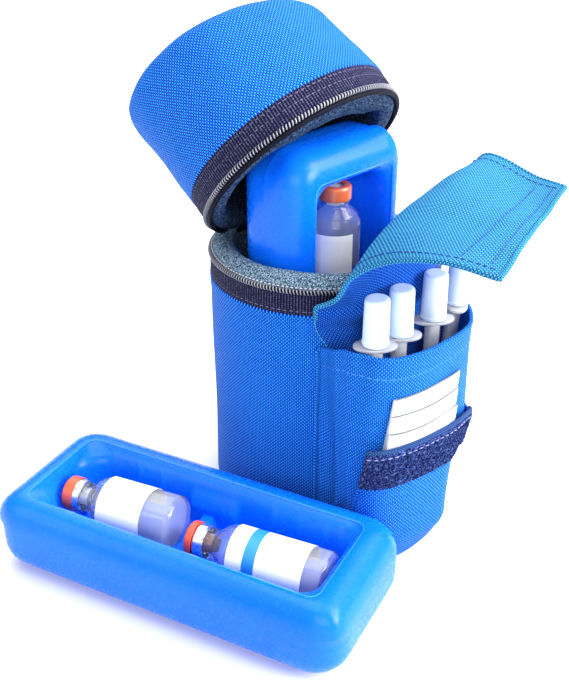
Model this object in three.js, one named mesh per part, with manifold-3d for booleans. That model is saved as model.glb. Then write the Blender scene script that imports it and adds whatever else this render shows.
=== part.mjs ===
// Soft round cooling case with its loaded kit: a zipped body and lid, a front
// pouch with a flap, two cold packs, three vials, four syringes and three swabs.
// Millimetres, +Z up. Origin: centre of the case's base. The pouch faces -Y.
import * as THREE from 'three';
import { mergeVertices } from 'three/addons/utils/BufferGeometryUtils.js';
import { RoundedBoxGeometry } from 'three/addons/geometries/RoundedBoxGeometry.js';
import Module from 'manifold-3d';

const wasm = await Module();
wasm.setup();

// ---------------------------------------------------------------- dimensions
const BODY_R = 47.5;            // outer radius of the woven sleeve
const CLOTH = 1.2;              // thickness of the woven cloth with its backing
const RIM_Z = 118;              // top of the foam lip
const SLEEVE_TOP = 105.6;       // cloth sleeve ends under the zip tape
const FOAM_IN = 40.8;           // bore radius of the body foam
const FOAM_FLOOR = 6.0;         // top of the foam floor
const LID_H = 55;               // outer height of the lid
const LID_OPEN = 50;            // lid angle as it stands, degrees from closed
const LID_AZ = -4;              // hinge direction, degrees from +Y towards +X
const LID_LEAN = 8;             // sideways fall of the soft hinge line, degrees
const MOUTH_Z = 118.3;          // height of the closed lid's mouth
const HINGE_R = 40;             // turning line of the soft hinge: distance from the axis
const HINGE_Z = 131;            // and its height
const HINGE_HALF = 24;          // half width of the cloth hinge, degrees of arc
const POUCH_TOP = 99.6;           // height of the pouch mouth
const SWAB_TOP = 57;            // height of the swab pocket mouth
const SWAB_FLOOR = 17;          // stitched bottom of the swab pocket
const FLAP_T = 1.2;             // flap thickness
const FLAP_HALF = 48;           // half angle of the flap root, degrees
const PACK_L = 159.6, PACK_W = 69.6, PACK_T = 34.6, PACK_R = 13;
const PACK_WALL = 1.6;          // moulded wall of a cold pack
const RECESS_L = 139.6, RECESS_W = 44, RECESS_D = 21;
const PACK_A = { x: 0.8, yFront: -18.2, z0: 6.3 };      // pack standing in the bore
const PACK_B = { x: -94.4, y: -18.8, yaw: -72.5 };      // pack lying beside the case
const SYRINGES = [              // x, y of each syringe and turn of its flange
  { x: -29.6, y: -58.4, turn: -40 },
  { x: -13.4, y: -59.4, turn: -44 },
  { x: 7.6, y: -60.2, turn: -38 },
  { x: 23.6, y: -58.0, turn: 42 },
];

const BIG = 32, MID = 14, SMALL = 10;   // facet counts

// ---------------------------------------------------------------- materials
const mat = (color, roughness, metalness = 0) =>
  new THREE.MeshStandardMaterial({ color, roughness, metalness });
const M_CLOTH = 0x1560e0, M_FLAP = 0x2f8cf0, M_FOAM = 0x4a4f5e, M_TAPE = 0x1c1f3d;
const M_PACK = 0x1f7df5;

// ---------------------------------------------------------------- helpers
const rad = THREE.MathUtils.degToRad;

// welded, position-only, outward-facing copy of a geometry
function clean(g) {
  for (const k of Object.keys(g.attributes)) if (k !== 'position') g.deleteAttribute(k);
  g = mergeVertices(g, 1e-4);
  const p = g.attributes.position, src = g.index.array, out = [];
  let vol = 0;
  const a = new THREE.Vector3(), b = new THREE.Vector3(), c = new THREE.Vector3();
  for (let i = 0; i < src.length; i += 3) {
    const [u, v, w] = [src[i], src[i + 1], src[i + 2]];
    if (u === v || v === w || w === u) continue;
    a.fromBufferAttribute(p, u); b.fromBufferAttribute(p, v); c.fromBufferAttribute(p, w);
    vol += a.dot(b.cross(c));
    out.push(u, v, w);
  }
  if (vol < 0) for (let i = 0; i < out.length; i += 3) [out[i], out[i + 1]] = [out[i + 1], out[i]];
  g.setIndex(out);
  return g;
}
function solid(g) {
  g = clean(g);
  return new wasm.Manifold(new wasm.Mesh({
    numProp: 3,
    vertProperties: new Float32Array(g.attributes.position.array),
    triVerts: new Uint32Array(g.index.array),
  }));
}
function geometry(m) {
  const r = m.getMesh(), g = new THREE.BufferGeometry();
  const n = r.vertProperties.length / r.numProp, pos = new Float32Array(n * 3);
  for (let i = 0; i < n; i++) for (let k = 0; k < 3; k++) pos[3 * i + k] = r.vertProperties[i * r.numProp + k];
  g.setAttribute('position', new THREE.BufferAttribute(pos, 3));
  g.setIndex(Array.from(r.triVerts));
  return clean(g);
}
// turned solid about Z from [radius, height] pairs; closed = ring section
function turned(points, seg = MID, closed = false) {
  const v = points.map(([r, z]) => new THREE.Vector2(r, z));
  if (closed) v.push(v[0].clone());
  const g = new THREE.LatheGeometry(v, seg);
  g.rotateX(Math.PI / 2);
  return clean(g);
}
// prism of a plan outline between two heights
function prism(points, z0, z1) {
  const s = new THREE.Shape(points.map(([x, y]) => new THREE.Vector2(x, y)));
  const g = new THREE.ExtrudeGeometry(s, { depth: z1 - z0, bevelEnabled: false, curveSegments: 4 });
  g.translate(0, 0, z0);
  return clean(g);
}
function box(x0, x1, y0, y1, z0, z1) {
  const g = new THREE.BoxGeometry(x1 - x0, y1 - y0, z1 - z0);
  g.translate((x0 + x1) / 2, (y0 + y1) / 2, (z0 + z1) / 2);
  return g;
}
function rod(r, z0, z1, seg = MID, r1 = r) {
  const g = new THREE.CylinderGeometry(r1, r, z1 - z0, seg);
  g.rotateX(Math.PI / 2);
  g.translate(0, 0, (z0 + z1) / 2);
  return g;
}
// smooth open outline through points, left back round the front to right back
function outline(list) {
  const pts = list.map(([x, y]) => new THREE.Vector3(x, y, 0));
  return new THREE.CatmullRomCurve3(pts, false, 'centripetal').getPoints(30).map((q) => [q.x, q.y]);
}
// wedge-shaped cutter about Z, centred on an azimuth from +Y towards +X
function wedge(azimuth, half, z0, z1, reach = 80) {
  const pts = [[0, 0]];
  for (let i = 0; i <= 4; i++) {
    const a = rad(azimuth - half + (i * half) / 2);
    pts.push([reach * Math.sin(a), reach * Math.cos(a)]);
  }
  return prism(pts.reverse(), z0, z1);
}
// closed sheet of even thickness over a surface f(s, t)
function sheet(f, s0, s1, t0, t1, ns, nt, thick, lift = 0) {
  const top = [], low = [], e = 1e-3;
  const P = (s, t) => new THREE.Vector3(...f(s, t));
  for (let j = 0; j <= nt; j++) for (let i = 0; i <= ns; i++) {
    const s = s0 + ((s1 - s0) * i) / ns, t = t0 + ((t1 - t0) * j) / nt;
    const n = P(s + e, t).sub(P(s - e, t)).cross(P(s, t + e).sub(P(s, t - e))).normalize();
    if (n.z < 0) n.negate();
    const p = P(s, t);
    top.push(p.clone().addScaledVector(n, lift + thick / 2));
    low.push(p.clone().addScaledVector(n, lift - thick / 2));
  }
  const all = [...top, ...low], N = top.length, w = ns + 1, idx = [];
  const quad = (a, b, c, d) => idx.push(a, b, c, a, c, d);
  for (let j = 0; j < nt; j++) for (let i = 0; i < ns; i++) {
    const a = j * w + i;
    quad(a, a + 1, a + 1 + w, a + w);
    quad(N + a, N + a + w, N + a + 1 + w, N + a + 1);
  }
  for (let i = 0; i < ns; i++) {
    const b = nt * w + i;
    quad(i + 1, i, N + i, N + i + 1);
    quad(b, b + 1, N + b + 1, N + b);
  }
  for (let j = 0; j < nt; j++) {
    const a = j * w, b = a + ns;
    quad(a, a + w, N + a + w, N + a);
    quad(b + w, b, N + b, N + b + w);
  }
  const g = new THREE.BufferGeometry();
  g.setAttribute('position', new THREE.BufferAttribute(new Float32Array(all.flatMap((p) => [p.x, p.y, p.z])), 3));
  g.setIndex(idx);
  return clean(g);
}

const root = new THREE.Group();
function add(parent, name, g, material) {
  const m = new THREE.Mesh(g, material);
  m.name = name;
  parent.add(m);
  return m;
}

// ---------------------------------------------------------------- case body
add(root, 'case_shell', turned([
  [0, 0], [45.5, 0], [47.0, 0.6], [BODY_R, 2.2], [BODY_R, SLEEVE_TOP],
  [BODY_R - CLOTH, SLEEVE_TOP], [BODY_R - CLOTH, 1.4], [0, 1.4]], BIG), mat(M_CLOTH, 0.75));
add(root, 'case_foam', turned([
  [0, 1.7], [45.2, 1.7], [46, 2.6], [46, 115.6], [45.2, 117.3], [43.4, RIM_Z],
  [41.6, 117.3], [FOAM_IN, 115.6], [FOAM_IN, FOAM_FLOOR], [0, FOAM_FLOOR]], BIG), mat(M_FOAM, 0.95));
add(root, 'case_zip_tape', turned([[46.3, 106], [47.6, 106], [47.6, 114.6], [46.3, 114.6]], BIG, true), mat(M_TAPE, 0.8));

const hexRing = (r, z, a) => turned([0, 60, 120, 180, 240, 300].map((d) =>
  [r + a * Math.cos(rad(d)), z + a * Math.sin(rad(d))]), BIG, true);
add(root, 'case_zip_coil', geometry(solid(hexRing(47.7, 116.2, 1.2))
  .subtract(solid(wedge(LID_AZ, HINGE_HALF, 110, 125)))), mat(0x3a3d52, 0.45));

// cloth hinge strip, sewn to the back of the sleeve
add(root, 'hinge_tape', geometry(solid(turned([[48.2, 96], [49.2, 96], [49.2, 113.6], [48.2, 113.6]], BIG, true))
  .intersect(solid(wedge(LID_AZ, HINGE_HALF - 2, 90, 125)))), mat(M_TAPE, 0.85));

// front pouch: D-shaped wall with a floor, open at the top and closed by the sleeve behind
const sleeveCut = solid(rod(BODY_R + 0.3, -5, 130, 72));
const POUCH = [[-33.5, -30], [-38.6, -40], [-40.5, -50], [-38.8, -61], [-32.5, -69.5], [-21, -74.2], [-6, -75.5], [8.5, -74.6], [19, -71.2], [27.5, -64.3], [32.5, -54.5], [34.4, -44], [33.5, -32]];
// the same outline moved outwards along its own normals
function moved(list, by) {
  return list.map(([x, y], i) => {
    const p = list[Math.max(0, i - 1)], q = list[Math.min(list.length - 1, i + 1)];
    const tx = q[0] - p[0], ty = q[1] - p[1], l = Math.hypot(tx, ty);
    return [x + (by * ty) / l, y - (by * tx) / l];
  });
}
const extend = (list, d) => [[list[0][0] + 2, list[0][1] + d], ...list, [list[list.length - 1][0] - 2, list[list.length - 1][1] + d]];
add(root, 'pocket_pouch', geometry(solid(prism(outline(POUCH), 0.2, POUCH_TOP))
  .subtract(solid(prism(outline(extend(moved(POUCH, -1.5), 12)), 2.0, POUCH_TOP + 5)))
  .subtract(sleeveCut)), mat(M_CLOTH, 0.75));

// swab pocket on the front of the pouch, open at the top
const clearOfPouch = solid(prism(outline(extend(moved(POUCH, 0.3), 12)), -5, 130));
const SWAB_WALL = [[-40.9, -55], [-41.2, -64], [-38, -73], [-27.5, -80], [-8, -83.4], [6, -82.4], [16, -78.8], [23.5, -72.5], [28.5, -64]];
add(root, 'swab_pocket', geometry(solid(prism(outline(SWAB_WALL), SWAB_FLOOR - 2, SWAB_TOP))
  .subtract(solid(prism(outline(extend(moved(SWAB_WALL, -1.2), 8)), SWAB_FLOOR, SWAB_TOP + 5)))
  .subtract(clearOfPouch)), mat(M_CLOTH, 0.75));
// loop strip along the top of the swab pocket
add(root, 'loop_strip', geometry(solid(prism(outline(moved(SWAB_WALL, 1.2)), SWAB_TOP - 17.4, SWAB_TOP - 0.6))
  .subtract(solid(prism(outline(extend(moved(SWAB_WALL, 0.3), 12)), 20, 80)))
  .subtract(solid(box(-60, 0, -63, -40, 20, 80)))
  .subtract(solid(box(0, 60, -69, -40, 20, 80)))), mat(0x20244a, 0.95));

// ---------------------------------------------------------------- flap
// mid-surface of the flap: three columns (near, middle, far) of rows, root to free edge
const rootPoint = (r, a, z) => [r * Math.sin(rad(a)), -r * Math.cos(rad(a)), z];
const column = (pts) => new THREE.CatmullRomCurve3(pts.map((p) => new THREE.Vector3(...p)), false, 'centripetal');
const FLAP_NEAR = column([rootPoint(49.0, -FLAP_HALF, 103), rootPoint(53.4, -FLAP_HALF, 112), [-39.4, -47, 124], [-39.2, -62, 137], [-39, -79, 146], [-38.4, -100, 150.6], [-38, -116, 151.6]]);
const FLAP_MIDL = column([rootPoint(49.0, 0, 103), rootPoint(53.4, 0, 112), [0, -55.4, 132], [0, -57.6, 148], [0, -67, 158.6], [0, -91, 157.4], [0, -104.5, 155]]);
const FLAP_FAR = column([rootPoint(49.0, FLAP_HALF, 103), rootPoint(53.4, FLAP_HALF, 112), [39.6, -41, 131], [39.2, -46.5, 149], [38.8, -58, 160.6], [38.4, -79, 158], [38, -93, 155.6]]);
function flapSurface(s, t) {
  const n = FLAP_NEAR.getPoint(t), m = FLAP_MIDL.getPoint(t), f = FLAP_FAR.getPoint(t);
  if (t < 0.17) {          // the root follows the round of the body
    const r = m.length() ? Math.hypot(m.x, m.y) : 0, a = rad(FLAP_HALF * s);
    return [r * Math.sin(a), -r * Math.cos(a), m.z];
  }
  const k = Math.min(1, (t - 0.17) / 0.33), r = Math.hypot(m.x, m.y), a = rad(FLAP_HALF * s);
  const wn = (s * (s - 1)) / 2, wm = 1 - s * s, wf = (s * (s + 1)) / 2;
  const q = [wn * n.x + wm * m.x + wf * f.x, wn * n.y + wm * m.y + wf * f.y, wn * n.z + wm * m.z + wf * f.z];
  return [q[0], q[1], q[2]];
}
const FOLD_T = 0.30;            // fold line of the flap, along its length
add(root, 'flap_root_panel', sheet(flapSurface, -1, 1, 0.004, FOLD_T - 0.006, 14, 8, FLAP_T), mat(M_FLAP, 0.75));
add(root, 'flap_end_panel', sheet(flapSurface, -1, 1, FOLD_T + 0.006, 0.998, 12, 14, FLAP_T), mat(M_FLAP, 0.75));
add(root, 'hook_strip', sheet(flapSurface, -0.82, 0.82, 0.80, 0.95, 8, 3, 1.0, -(FLAP_T / 2 + 0.8)), mat(0x20244a, 0.9));

// ---------------------------------------------------------------- zip slider and pull
const slider = new THREE.Group();
slider.rotation.z = -rad(LID_AZ + HINGE_HALF + 16);
root.add(slider);
add(slider, 'zip_slider', geometry(solid(box(-4.0, 4.5, 49.3, 50.3, 114.2, 120.4))
  .add(solid(box(2.4, 4.0, 50.1, 52.3, 116, 118.6)))), mat(0xb9bcc4, 0.35, 0.9));
add(slider, 'zip_pull', geometry(solid(box(-13.5, 1.8, 51.1, 52.0, 115.1, 119.5))
  .subtract(solid(box(-12.0, -8.4, 50, 53, 116.2, 118.4))))
  .translate(-1.0, -51.55, 0).rotateZ(rad(6)).translate(1.0, 51.55, 0), mat(0xb9bcc4, 0.35, 0.9));

// ---------------------------------------------------------------- lid
// built closed with its mouth at the hinge height, then tipped about the hinge line
const azL = rad(LID_AZ);
const hingePoint = new THREE.Vector3(HINGE_R * Math.sin(azL), HINGE_R * Math.cos(azL), HINGE_Z);
const lid = new THREE.Group();
lid.position.copy(hingePoint);
const hingeLine = new THREE.Vector3(-Math.cos(azL), Math.sin(azL), -Math.tan(rad(LID_LEAN))).normalize();
lid.quaternion.setFromAxisAngle(hingeLine, rad(LID_OPEN));
root.add(lid);
const lidShift = (g) => g.translate(-hingePoint.x, -hingePoint.y, MOUTH_Z - HINGE_Z);
add(lid, 'lid_shell', lidShift(turned([
  [0, LID_H], [33, LID_H - 0.6], [41, LID_H - 2.6], [45.6, LID_H - 7], [BODY_R, LID_H - 13], [BODY_R, 12.4],
  [46.3, 12.4], [46.3, LID_H - 13.3], [44.6, LID_H - 7.8], [40.4, LID_H - 3.9], [32.8, LID_H - 2.0], [0, LID_H - 1.4]], BIG)), mat(M_CLOTH, 0.75));
add(lid, 'lid_foam', lidShift(turned([
  [0, LID_H - 1.7], [32.7, LID_H - 2.3], [40.2, LID_H - 4.2], [44.3, LID_H - 8], [46, LID_H - 13.5], [46, 2.4], [45.2, 0.7],
  [43.7, 0.02], [42.2, 0.7], [41.5, 2.4], [41.5, LID_H - 15], [39.6, LID_H - 9.2], [34, LID_H - 6.2], [0, LID_H - 5.4]], BIG)), mat(M_FOAM, 0.95));
add(lid, 'lid_zip_tape', lidShift(turned([[46.3, 3.4], [47.6, 3.4], [47.6, 12], [46.3, 12]], BIG, true)), mat(M_TAPE, 0.8));
add(lid, 'lid_zip_coil', lidShift(geometry(solid(hexRing(47.7, 2.0, 1.2))
  .subtract(solid(wedge(LID_AZ, HINGE_HALF, -6, 10))))), mat(0x3a3d52, 0.45));

// ---------------------------------------------------------------- cold packs
// local frame: X along the pack, Y across, Z up through the recess, origin under the middle
function taper(l0, w0, l1, w1, z0, z1, cx = 0, cy = 0) {
  const g = new THREE.BoxGeometry(1, 1, z1 - z0);
  const p = g.attributes.position;
  for (let i = 0; i < p.count; i++) {
    const hi = p.getZ(i) > 0;
    p.setXYZ(i, cx + p.getX(i) * (hi ? l1 : l0), cy + p.getY(i) * (hi ? w1 : w0), hi ? z1 : z0);
  }
  return g;
}
function roundedBox(l, w, t, r) {
  const g = new RoundedBoxGeometry(l, w, t, 3, r);
  g.translate(0, 0, PACK_T / 2);
  return g;
}
const DIVIDE = -2;              // step between the two vial bays, along X
function recess(grow) {
  const top = PACK_T + 2, floor = PACK_T - RECESS_D - grow, step = floor + 9;
  const slope = 6 / RECESS_D;
  const l = (z) => RECESS_L - 2 * slope * (PACK_T - z) * 0.75 + 2 * grow;
  const w = (z) => RECESS_W - 2 * slope * (PACK_T - z) * 0.75 + 2 * grow;
  const upper = solid(taper(l(step), w(step), l(top), w(top), step, top));
  const xl = -l(step) / 2, xr = l(step) / 2;
  const bay = (a, b) => solid(taper(b - a - 4, w(floor), b - a, w(step + 0.5), floor, step + 0.5, (a + b) / 2));
  return upper.add(bay(xl, DIVIDE - 2.4 + grow)).add(bay(DIVIDE + 2.4 - grow, xr));
}
function pack(group, name) {
  const W = PACK_WALL;
  const cavity = (g) => solid(roundedBox(PACK_L - 2 * W - 2 * g, PACK_W - 2 * W - 2 * g, PACK_T - 2 * W - 2 * g, PACK_R - W - g))
    .subtract(recess(W + g));
  const port = solid(rod(4.0, 0, 12, MID).rotateY(Math.PI / 2).translate(-PACK_L / 2 - 3, 0, 17.3));
  const shell = solid(roundedBox(PACK_L, PACK_W, PACK_T, PACK_R)).subtract(recess(0)).subtract(cavity(0)).subtract(port);
  add(group, `${name}_shell`, geometry(shell), mat(M_PACK, 0.35));
  const plugRoom = solid(rod(5.6, 0, 12, MID).rotateY(Math.PI / 2).translate(-PACK_L / 2 - 1, 0, 17.3));
  add(group, `${name}_gel`, geometry(cavity(0.3).subtract(plugRoom)), mat(0xcfe6ff, 0.4));
  add(group, `${name}_plug`, geometry(solid(rod(3.7, 0, 7, MID).rotateY(Math.PI / 2).translate(-PACK_L / 2 + 0.1, 0, 17.3))), mat(M_PACK, 0.4));
}
const packA = new THREE.Group();
packA.applyMatrix4(new THREE.Matrix4().makeBasis(
  new THREE.Vector3(0, 0, 1), new THREE.Vector3(-1, 0, 0), new THREE.Vector3(0, -1, 0))
  .setPosition(PACK_A.x, PACK_A.yFront + PACK_T, PACK_A.z0 + PACK_L / 2));
root.add(packA);
pack(packA, 'pack_a');
const packB = new THREE.Group();
packB.position.set(PACK_B.x, PACK_B.y, 0);
packB.rotation.z = rad(PACK_B.yaw);
root.add(packB);
pack(packB, 'pack_b');

// ---------------------------------------------------------------- vials
// upright along +Z from their own base
function vial(group, name, R, H, colours, cap) {
  const hb = H - 17, e = R - 1.1;
  add(group, `${name}_glass`, turned([
    [0, 0], [R - 1.3, 0], [R, 1.3], [R, hb], [R - 1.8, hb + 3.4], [6.2, hb + 6.4], [5.4, hb + 7.6], [5.4, H - 8.7], [6.3, H - 8.2],
    [6.3, H - 4.6], [3.8, H - 4.6], [3.8, hb + 6.9], [R - 3.2, hb + 2.4], [e, hb - 0.6], [e, 1.5], [0, 1.5]], MID + 4), mat(0xeef4f6, 0.05));
  add(group, `${name}_liquid`, turned([[0, 1.8], [e - 0.3, 1.8], [e - 0.3, hb - 4], [0, hb - 4]], MID - 2), mat(0xf2f6f8, 0.05));
  add(group, `${name}_stopper`, turned([[0, H - 9.4], [3.5, H - 9.4], [3.5, H - 4.3], [6.2, H - 4.3], [6.2, H - 2.0], [0, H - 2.0]], MID - 4), mat(colours.stopper, 0.7));
  add(group, `${name}_crimp`, turned([
    [5.8, H - 9.2], [6.95, H - 9.2], [6.95, H - 1.1], [3.6, H - 1.1], [3.6, H - 1.7], [6.55, H - 1.7], [6.55, H - 8.7], [5.8, H - 8.8]], MID, true), mat(colours.crimp, 0.35, 0.7));
  if (cap) add(group, `${name}_cap`, turned([[0, H - 0.8], [6.9, H - 0.8], [6.9, H + 1.6], [6.3, H + 2.2], [0, H + 2.2]], MID), mat(colours.cap, 0.4));
  const sleeve = solid(turned([[R + 0.2, 5], [R + 0.5, 5], [R + 0.5, hb - 3], [R + 0.2, hb - 3]], MID + 4, true));
  add(group, `${name}_label`, geometry(sleeve.subtract(solid(wedge(colours.gap, 40, 0, H, 30)))), mat(0xf6f6f3, 0.6));
}
const recessFloorA = PACK_A.yFront + RECESS_D;
const VIAL_A = { R: 11.2, H: 53 };
const vialA = new THREE.Group();
vialA.position.set(-0.6, recessFloorA - VIAL_A.R - 0.8, 148.2 - VIAL_A.H);
root.add(vialA);
vial(vialA, 'vial_1', VIAL_A.R, VIAL_A.H, { stopper: 0x8d8f94, crimp: 0xb5603a, gap: 0 }, false);

const recessFloorB = PACK_T - RECESS_D;
function lyingVial(name, R, H, capEnd, across, skew, roll, colours) {
  // cap towards -X of the pack
  const g = new THREE.Group();
  g.position.set(capEnd + H + 2.2, across, recessFloorB + R + 0.8);
  g.rotation.set(0, 0, rad(skew));
  packB.add(g);
  const lie = new THREE.Group();
  lie.rotation.set(0, -Math.PI / 2, 0);
  g.add(lie);
  const turn = new THREE.Group();
  turn.rotation.z = rad(roll);
  lie.add(turn);
  vial(turn, name, R, H, colours, true);
}
lyingVial('vial_2', 12.2, 52.4, -61, 0.4, 3, 0, { stopper: 0x77797e, crimp: 0xd9dadd, cap: 0xe2602c, gap: -90 });
lyingVial('vial_3', 11.0, 61.2, 1.6, -0.6, 3, 0, { stopper: 0x4a1f26, crimp: 0xc9ccd2, cap: 0xd8492c, gap: -90 });

// ---------------------------------------------------------------- syringes
const FLOOR_Z = 2.3;            // pouch floor plus a hair
function syringe(i, { x, y, turn }) {
  const g = new THREE.Group();
  g.position.set(x, y, 0);
  g.rotation.z = rad(turn);
  root.add(g);
  const n = `syringe_${i}`, top = 101.4;
  const tube = solid(turned([
    [0, 33.5], [0.3, 33.5], [0.3, 38.4], [1.5, 38.4], [1.5, 42.6], [3.2, 43.2], [3.2, top], [2.45, top], [2.45, 44.6], [0, 44.6]], SMALL + 2));
  const wing = new THREE.Shape();
  wing.absellipse(0, 0, 8.8, 5.2, 0, Math.PI * 2, false, 0);
  const plate = new THREE.ExtrudeGeometry(wing, { depth: 1.4, bevelEnabled: false, curveSegments: 9 });
  plate.translate(0, 0, top - 1.4);
  add(g, `${n}_barrel`, geometry(tube.add(solid(plate).subtract(solid(rod(2.8, 90, 110, SMALL))))), mat(0xeaf1f5, 0.15));
  add(g, `${n}_plunger`, turned([
    [0, 45.2], [2.15, 45.2], [2.15, 49], [1.5, 49.4], [1.5, 105.0], [3.4, 105.0], [3.4, 106.4], [0, 106.4]], SMALL), mat(0xf3f4f4, 0.4));
  add(g, `${n}_thumb_cap`, turned([
    [0, 121.6], [3.6, 121.6], [4.3, 121.0], [5.2, 101.8], [4.5, 101.8], [3.7, 120.1], [0, 120.1]], SMALL + 2), mat(0xf7f8f8, 0.5));
  add(g, `${n}_needle_cap`, turned([
    [0, FLOOR_Z], [2.2, FLOOR_Z], [2.8, FLOOR_Z + 0.8], [3.1, 42.2], [1.9, 42.2], [1.9, 30], [0, 30]], SMALL), mat(0xe8742c, 0.45));
}
SYRINGES.forEach((s, i) => syringe(i + 1, s));

// ---------------------------------------------------------------- swabs
const SWABS = [                 // offset from the pouch, bottom height, left edge
  { off: 0.6, z: 33.4, x: -29.6 },
  { off: 1.45, z: 25.8, x: -29.6 },
  { off: 2.3, z: 18.2, x: -28.6 },
];
SWABS.forEach(({ off, z, x }, i) => {
  const g = new THREE.Group();
  g.position.set(x, -74.6 - off, z);
  g.rotation.z = rad(-5);
  root.add(g);
  add(g, `swab_${i + 1}`, box(0, 36, -0.3, 0.3, 0, 49.6), mat(0xfafafa, 0.6));
});

export default root;
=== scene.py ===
import bpy, bmesh, math
import numpy as np
from mathutils import Matrix, Vector, noise


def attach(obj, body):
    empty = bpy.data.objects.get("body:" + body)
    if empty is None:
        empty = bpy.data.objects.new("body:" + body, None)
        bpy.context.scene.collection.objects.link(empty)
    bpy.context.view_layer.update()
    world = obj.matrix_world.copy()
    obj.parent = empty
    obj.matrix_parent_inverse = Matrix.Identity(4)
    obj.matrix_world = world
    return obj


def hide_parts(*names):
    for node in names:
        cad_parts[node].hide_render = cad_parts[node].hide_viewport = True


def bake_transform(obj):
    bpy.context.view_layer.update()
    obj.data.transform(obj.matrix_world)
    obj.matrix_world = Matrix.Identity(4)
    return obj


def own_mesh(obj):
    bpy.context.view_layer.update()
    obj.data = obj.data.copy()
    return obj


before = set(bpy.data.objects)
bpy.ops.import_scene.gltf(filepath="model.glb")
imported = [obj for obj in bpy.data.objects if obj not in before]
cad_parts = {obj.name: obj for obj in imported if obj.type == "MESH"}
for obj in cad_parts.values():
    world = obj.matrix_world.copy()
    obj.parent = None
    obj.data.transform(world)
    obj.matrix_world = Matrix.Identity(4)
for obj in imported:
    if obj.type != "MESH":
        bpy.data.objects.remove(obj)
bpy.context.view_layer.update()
scene = bpy.context.scene
MM = 0.001
pi = math.pi


# ------------------------------------------------------------------ maths
def rad(d):
    return d * pi / 180.0


def smooth(a, b, x):
    t = np.clip((np.asarray(x, float) - a) / (b - a), 0, 1)
    return t * t * (3 - 2 * t)


def arr(m):
    return np.array(m, float)


def move(x, y, z):
    return arr(Matrix.Translation((x, y, z)))


def turn(deg, axis):
    return arr(Matrix.Rotation(rad(deg), 4, axis))


def put(P, M):
    P = np.asarray(P, float)
    return P @ M[:3, :3].T + M[:3, 3]


def wave(P, size, amount, seed=0.0):
    """Smooth pseudo-random displacement, one number per point."""
    P = np.asarray(P, float)
    flat = P.reshape(-1, 3)
    out = [noise.noise(Vector((p[0] / size + seed, p[1] / size - seed, p[2] / size + 0.37 * seed))) for p in flat]
    return amount * np.array(out).reshape(P.shape[:-1])


def centripetal(points, t):
    """Open centripetal Catmull-Rom curve at t in 0..1."""
    pts = np.asarray(points, float)
    n = len(pts)
    p = (n - 1) * min(max(t, 0.0), 1.0)
    i = min(int(math.floor(p)), n - 2)
    w = p - i
    p0 = pts[i - 1] if i > 0 else 2 * pts[0] - pts[1]
    p1, p2 = pts[i], pts[i + 1]
    p3 = pts[i + 2] if i + 2 < n else 2 * pts[-1] - pts[-2]
    d0, d1, d2 = (max(np.sum((b - a) ** 2) ** 0.25, 1e-4) for a, b in ((p0, p1), (p1, p2), (p2, p3)))
    t1 = ((p1 - p0) / d0 - (p2 - p0) / (d0 + d1) + (p2 - p1) / d1) * d1
    t2 = ((p2 - p1) / d1 - (p3 - p1) / (d1 + d2) + (p3 - p2) / d2) * d1
    return p1 + t1 * w + (-3 * p1 + 3 * p2 - 2 * t1 - t2) * w ** 2 + (2 * p1 - 2 * p2 + t1 + t2) * w ** 3


def curve(points, n):
    return np.array([centripetal(points, k / (n - 1)) for k in range(n)])


def even(line, n):
    """The same polyline at n evenly spaced points."""
    line = np.asarray(line, float)
    s = np.concatenate([[0], np.cumsum(np.linalg.norm(np.diff(line, axis=0), axis=1))])
    q = np.linspace(0, s[-1], n)
    return np.stack([np.interp(q, s, line[:, k]) for k in range(line.shape[1])], axis=1)


def fillet(points, radius, n=5, closed=False):
    """Polyline with its corners rounded. radius is one number or one per point."""
    pts = [np.asarray(p, float) for p in points]
    m = len(pts)
    rr = [radius] * m if np.isscalar(radius) else list(radius)
    out = []
    for i in range(m):
        if (not closed and i in (0, m - 1)) or rr[i] <= 0:
            out.append(pts[i])
            continue
        a, b, c = pts[i - 1], pts[i], pts[(i + 1) % m]
        u, v = a - b, c - b
        lu, lv = np.linalg.norm(u), np.linalg.norm(v)
        if lu < 1e-9 or lv < 1e-9:
            out.append(b)
            continue
        u, v = u / lu, v / lv
        ang = math.acos(max(-1, min(1, float(u @ v))))
        if ang > pi - 0.02 or ang < 0.02:
            out.append(b)
            continue
        d = min(rr[i] / math.tan(ang / 2), 0.48 * lu, 0.48 * lv)
        for k in range(n + 1):
            t = k / n
            out.append((1 - t) ** 2 * (b + u * d) + 2 * t * (1 - t) * b + t ** 2 * (b + v * d))
    return np.array(out)


# ------------------------------------------------------------------ mesh building
def loft(S, closed_k=True, closed_m=False, caps=True, u=None, v=None):
    """Skin over sections S[m, k, 3]. u runs with m, v with k, both in mm for the weave map."""
    S = np.asarray(S, float)
    m, k = S.shape[:2]
    V = S.reshape(-1, 3)
    if u is None:
        c = S.mean(axis=1)
        u = np.concatenate([[0], np.cumsum(np.linalg.norm(np.diff(np.concatenate([c, c[:1]]), axis=0), axis=1))])
    if v is None:
        q = np.concatenate([S[m // 2], S[m // 2][:1]])
        v = np.concatenate([[0], np.cumsum(np.linalg.norm(np.diff(q, axis=0), axis=1))])
    F, L = [], []
    for i in range(m if closed_m else m - 1):
        a, b = i * k, ((i + 1) % m) * k
        for j in range(k if closed_k else k - 1):
            e = (j + 1) % k
            F.append((a + j, a + e, b + e, b + j))
            L.append(((u[i], v[j]), (u[i], v[j + 1]), (u[i + 1], v[j + 1]), (u[i + 1], v[j])))
    if caps and closed_k and not closed_m:
        for i, order in ((0, range(k - 1, -1, -1)), (m - 1, range(k))):
            f = [i * k + j for j in order]
            F.append(tuple(f))
            ax = int(np.argmin(np.ptp(S[i], axis=0)))
            keep = [x for x in range(3) if x != ax]
            L.append(tuple((float(V[q][keep[0]]), float(V[q][keep[1]])) for q in f))
    return V, F, L


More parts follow.
